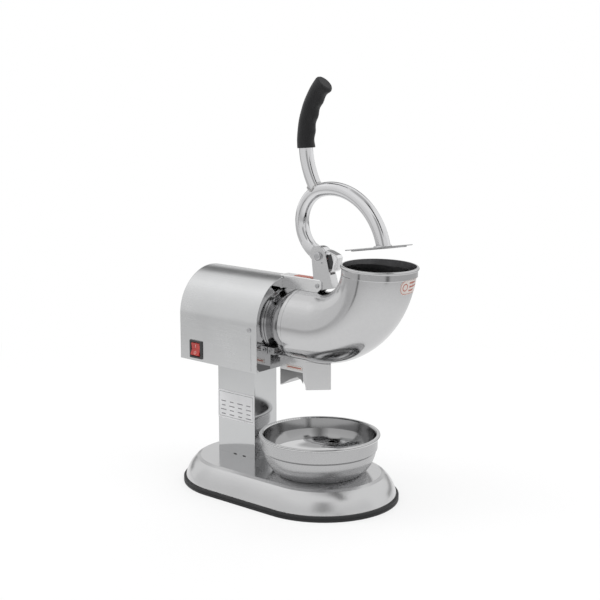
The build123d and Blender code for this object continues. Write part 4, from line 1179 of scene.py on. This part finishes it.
@dataclass
class Lamp:
    """One soft rectangular lamp aimed at the machine, which polished metal doesn't show."""

    name: str
    place: Place
    size: Point
    power: float

    def build(self) -> None:
        """Hang the lamp."""
        data = bpy.data.lights.new(self.name, "AREA")
        data.shape = "RECTANGLE"
        data.size, data.size_y = self.size
        data.energy = self.power
        lamp = bpy.data.objects.new(self.name, data)
        put_up(lamp, self.place)
        lamp.visible_glossy = False
        bpy.context.scene.collection.objects.link(lamp)
        log.info("lamp %s", self.name)


@dataclass
class Card:
    """A card in the studio with soft edges, which only polished metal shows."""

    name: str
    place: Place
    size: Point
    tone: float
    soft: float

    def build(self) -> None:
        """Hang the card up, facing the machine, with its cloth thinning out towards its edges."""
        half_w, half_h = self.size[0] / 2, self.size[1] / 2
        card = rectangle(self.name, half_w, half_h)
        put_up(card, self.place)
        g = Graph(self.name + "_cloth")
        across, up, _ = g.axes()
        clear = 1 - self.soft
        share = g.sum(g.ranged(g.absolute(across), 0.0, 1.0, half_w, half_w * clear),
                      g.ranged(g.absolute(up), 0.0, 1.0, half_h, half_h * clear), "MULTIPLY")
        g.surface(g.veil(share, self.tone))
        show_in_metal(card, g)


@dataclass
class Band:
    """A strip of the studio at one compass angle, which only polished metal shows."""

    name: str
    angle: float
    half_width: float
    tone: float
    path: tuple[Point, ...]
    soft: float

    def build(self) -> None:
        """Lay the strip out from the machine and turn it to its angle."""
        wide = math.tan(math.radians(self.half_width))
        verts = [(reach, side * reach * wide, level) for reach, level in self.path for side in (-1, 1)]
        faces = [(2 * k, 2 * k + 1, 2 * k + 3, 2 * k + 2) for k in range(len(self.path) - 1)]
        band = bpy.data.objects.new(self.name, plain_mesh(self.name, verts, faces))
        band.rotation_euler = (0, 0, math.radians(self.angle))
        g = Graph(self.name + "_cloth")
        out, across, _ = g.axes()
        aside = g.absolute(g.sum(across, out, "DIVIDE"))
        share = g.ranged(aside, 0.0, 1.0, wide, wide * (1 - self.soft))
        g.surface(g.veil(share, self.tone))
        show_in_metal(band, g)


@dataclass
class Wall:
    """A curved grey wall round part of the studio, lighter at its top, which only polished metal shows."""

    name: str
    radius: float
    start: float
    end: float
    height: float
    low_tone: float
    high_tone: float

    def build(self) -> None:
        """Put the wall up."""
        count = 48
        verts = []
        for k in range(count + 1):
            turn = math.radians(self.start + (self.end - self.start) * k / count)
            x, y = self.radius * math.cos(turn), self.radius * math.sin(turn)
            verts += [(x, y, 0.0), (x, y, self.height)]
        faces = [(2 * k, 2 * k + 2, 2 * k + 3, 2 * k + 1) for k in range(count)]
        wall = bpy.data.objects.new(self.name, plain_mesh(self.name, verts, faces))
        g = Graph(self.name + "_cloth")
        rise = g.sum(g.axes()[2], g.ranged(g.noise((1, 1, 1), 2.0), -0.1, 0.1))
        share = g.ranged(rise, 0.0, 1.0, self.height * 0.35, self.height)
        g.surface(g.glow(g.blend(share, (self.low_tone,) * 3, (self.high_tone,) * 3)))
        show_in_metal(wall, g)


@dataclass
class Studio:
    """Pale floor, white surround, soft lamps, grey cards and the camera."""

    camera_place: Place = (1.22335, -1.40159, 0.63983)
    camera_aim: Place = (-0.00037, 0.0, 0.27655)
    lens: float = 81.75
    floor_half: float = 12.0
    other_light: float = 0.62
    lamps: tuple[Lamp, ...] = (
        Lamp("lamp_top", (0.1, -0.2, 2.2), (2.2, 2.2), 26.0),
        Lamp("lamp_left", (-2.0, -1.3, 1.3), (1.6, 2.0), 22.0),
        Lamp("lamp_right", (2.2, 0.6, 1.2), (1.4, 2.0), 14.0),
        Lamp("lamp_back", (-0.6, 2.3, 1.5), (2.4, 1.4), 14.0))
    walls: tuple[Wall, ...] = (
        Wall("wall_front", 2.7, -165.0, 30.0, 2.0, 0.84, 0.95),
        Wall("wall_back", 2.9, 70.0, 175.0, 0.40, 0.34, 0.5))
    cards: tuple[Card, ...] = (
        Card("card_over_back", (-0.85, 0.97, 1.05), (2.0, 0.75), 0.16, 0.5),
        Card("card_back_mid", (-3.3, 3.75, 1.7), (8.0, 2.2), 0.78, 0.2),
        Card("card_bright_left", (-1.45, -0.45, 1.95), (1.3, 1.3), 1.15, 0.7),
        Card("card_lever", (0.46, -0.09, 0.80), (0.19, 0.6), 0.04, 0.35),
        Card("card_over", (0.4, 0.1, 2.9), (2.4, 2.4), 0.55, 0.5))
    bands: tuple[Band, ...] = (
        Band("band_left", -112.0, 4.4, 0.14, ((0.9, 0.003), (2.4, 0.003), (2.4, 0.15)), 0.7),
        Band("band_right", -26.0, 8.0, 0.18, ((0.9, 0.003), (2.4, 0.003), (2.4, 0.35)), 0.85),
        Band("band_camera", -49.0, 21.0, 0.34, ((2.4, 0.6), (2.4, 2.6)), 0.9))

    def build(self) -> None:
        """Set the whole studio up."""
        self.surround()
        self.floor()
        for fixture in (*self.lamps, *self.walls, *self.cards, *self.bands):
            fixture.build()
        self.camera()
        bpy.context.scene.view_settings.view_transform = "Standard"

    def surround(self) -> None:
        """White background for the camera and for polished metal, softer light for the rest."""
        g = Graph("surround", bpy.data.worlds)
        bpy.context.scene.world = g.owner
        path = g.node("ShaderNodeLightPath").outputs
        through = g.sum(path["Is Glossy Ray"], path["Is Transmission Ray"], "MAXIMUM")
        seen = g.sum(path["Is Camera Ray"], through, "MAXIMUM")
        strength = g.ranged(seen, self.other_light, 1.0, 0.0, 1.0)
        back = g.filled("ShaderNodeBackground", Color=(1, 1, 1), Strength=strength)[0]
        g.filled("ShaderNodeOutputWorld", Surface=back)

    def floor(self) -> None:
        """Pale floor that keeps a soft shadow near the machine and fades to white."""
        floor = rectangle("floor", self.floor_half, self.floor_half)
        g = Graph("pale_floor")
        paper = g.principled(Base_Color=g.blend(g.noise((3, 3, 3), 4.0), (0.80,) * 3, (0.83,) * 3),
                             Roughness=0.6, Specular_IOR_Level=0.1)
        away = g.node("ShaderNodeVectorMath", operation="LENGTH")
        g.join(g.coords, away.inputs[0])
        reach = away.outputs["Value"]
        path = g.node("ShaderNodeLightPath").outputs
        mirrored = path["Is Glossy Ray"]
        strength = g.sum(g.ranged(reach, 1.0, 0.62, 0.4, 1.3), mirrored, "POWER")
        glow = g.filled("ShaderNodeEmission", Strength=strength)[0]
        seen = g.sum(g.ranged(reach, 0.62, 1.0, 0.35, 1.1), path["Is Camera Ray"], "MULTIPLY")
        g.surface(g.mixed(g.sum(seen, mirrored, "MAXIMUM"), paper, glow))
        floor.data.materials.append(g.owner)
        bpy.context.scene.collection.objects.link(floor)

    def camera(self) -> None:
        """Stand the camera at the picture's viewing angle."""
        data = bpy.data.cameras.new("camera")
        data.lens = self.lens
        data.sensor_width = 36.0
        data.clip_end = 50.0
        camera = bpy.data.objects.new("camera", data)
        put_up(camera, self.camera_place, self.camera_aim)
        bpy.context.scene.collection.objects.link(camera)
        bpy.context.scene.camera = camera


def main() -> None:
    """Build every piece in order."""
    logging.basicConfig(level=logging.INFO, format="%(message)s")
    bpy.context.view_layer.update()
    for assembly in (Base(), Column(), Housing(), RockerSwitch(), Motor(), Cutter(), FeedTube(), Chute(),
                     PivotBracket(), PressLever(), Bowl(), Studio()):
        log.info("building %s", type(assembly).__name__)
        assembly.build()


if __name__ == "__main__":
    main()
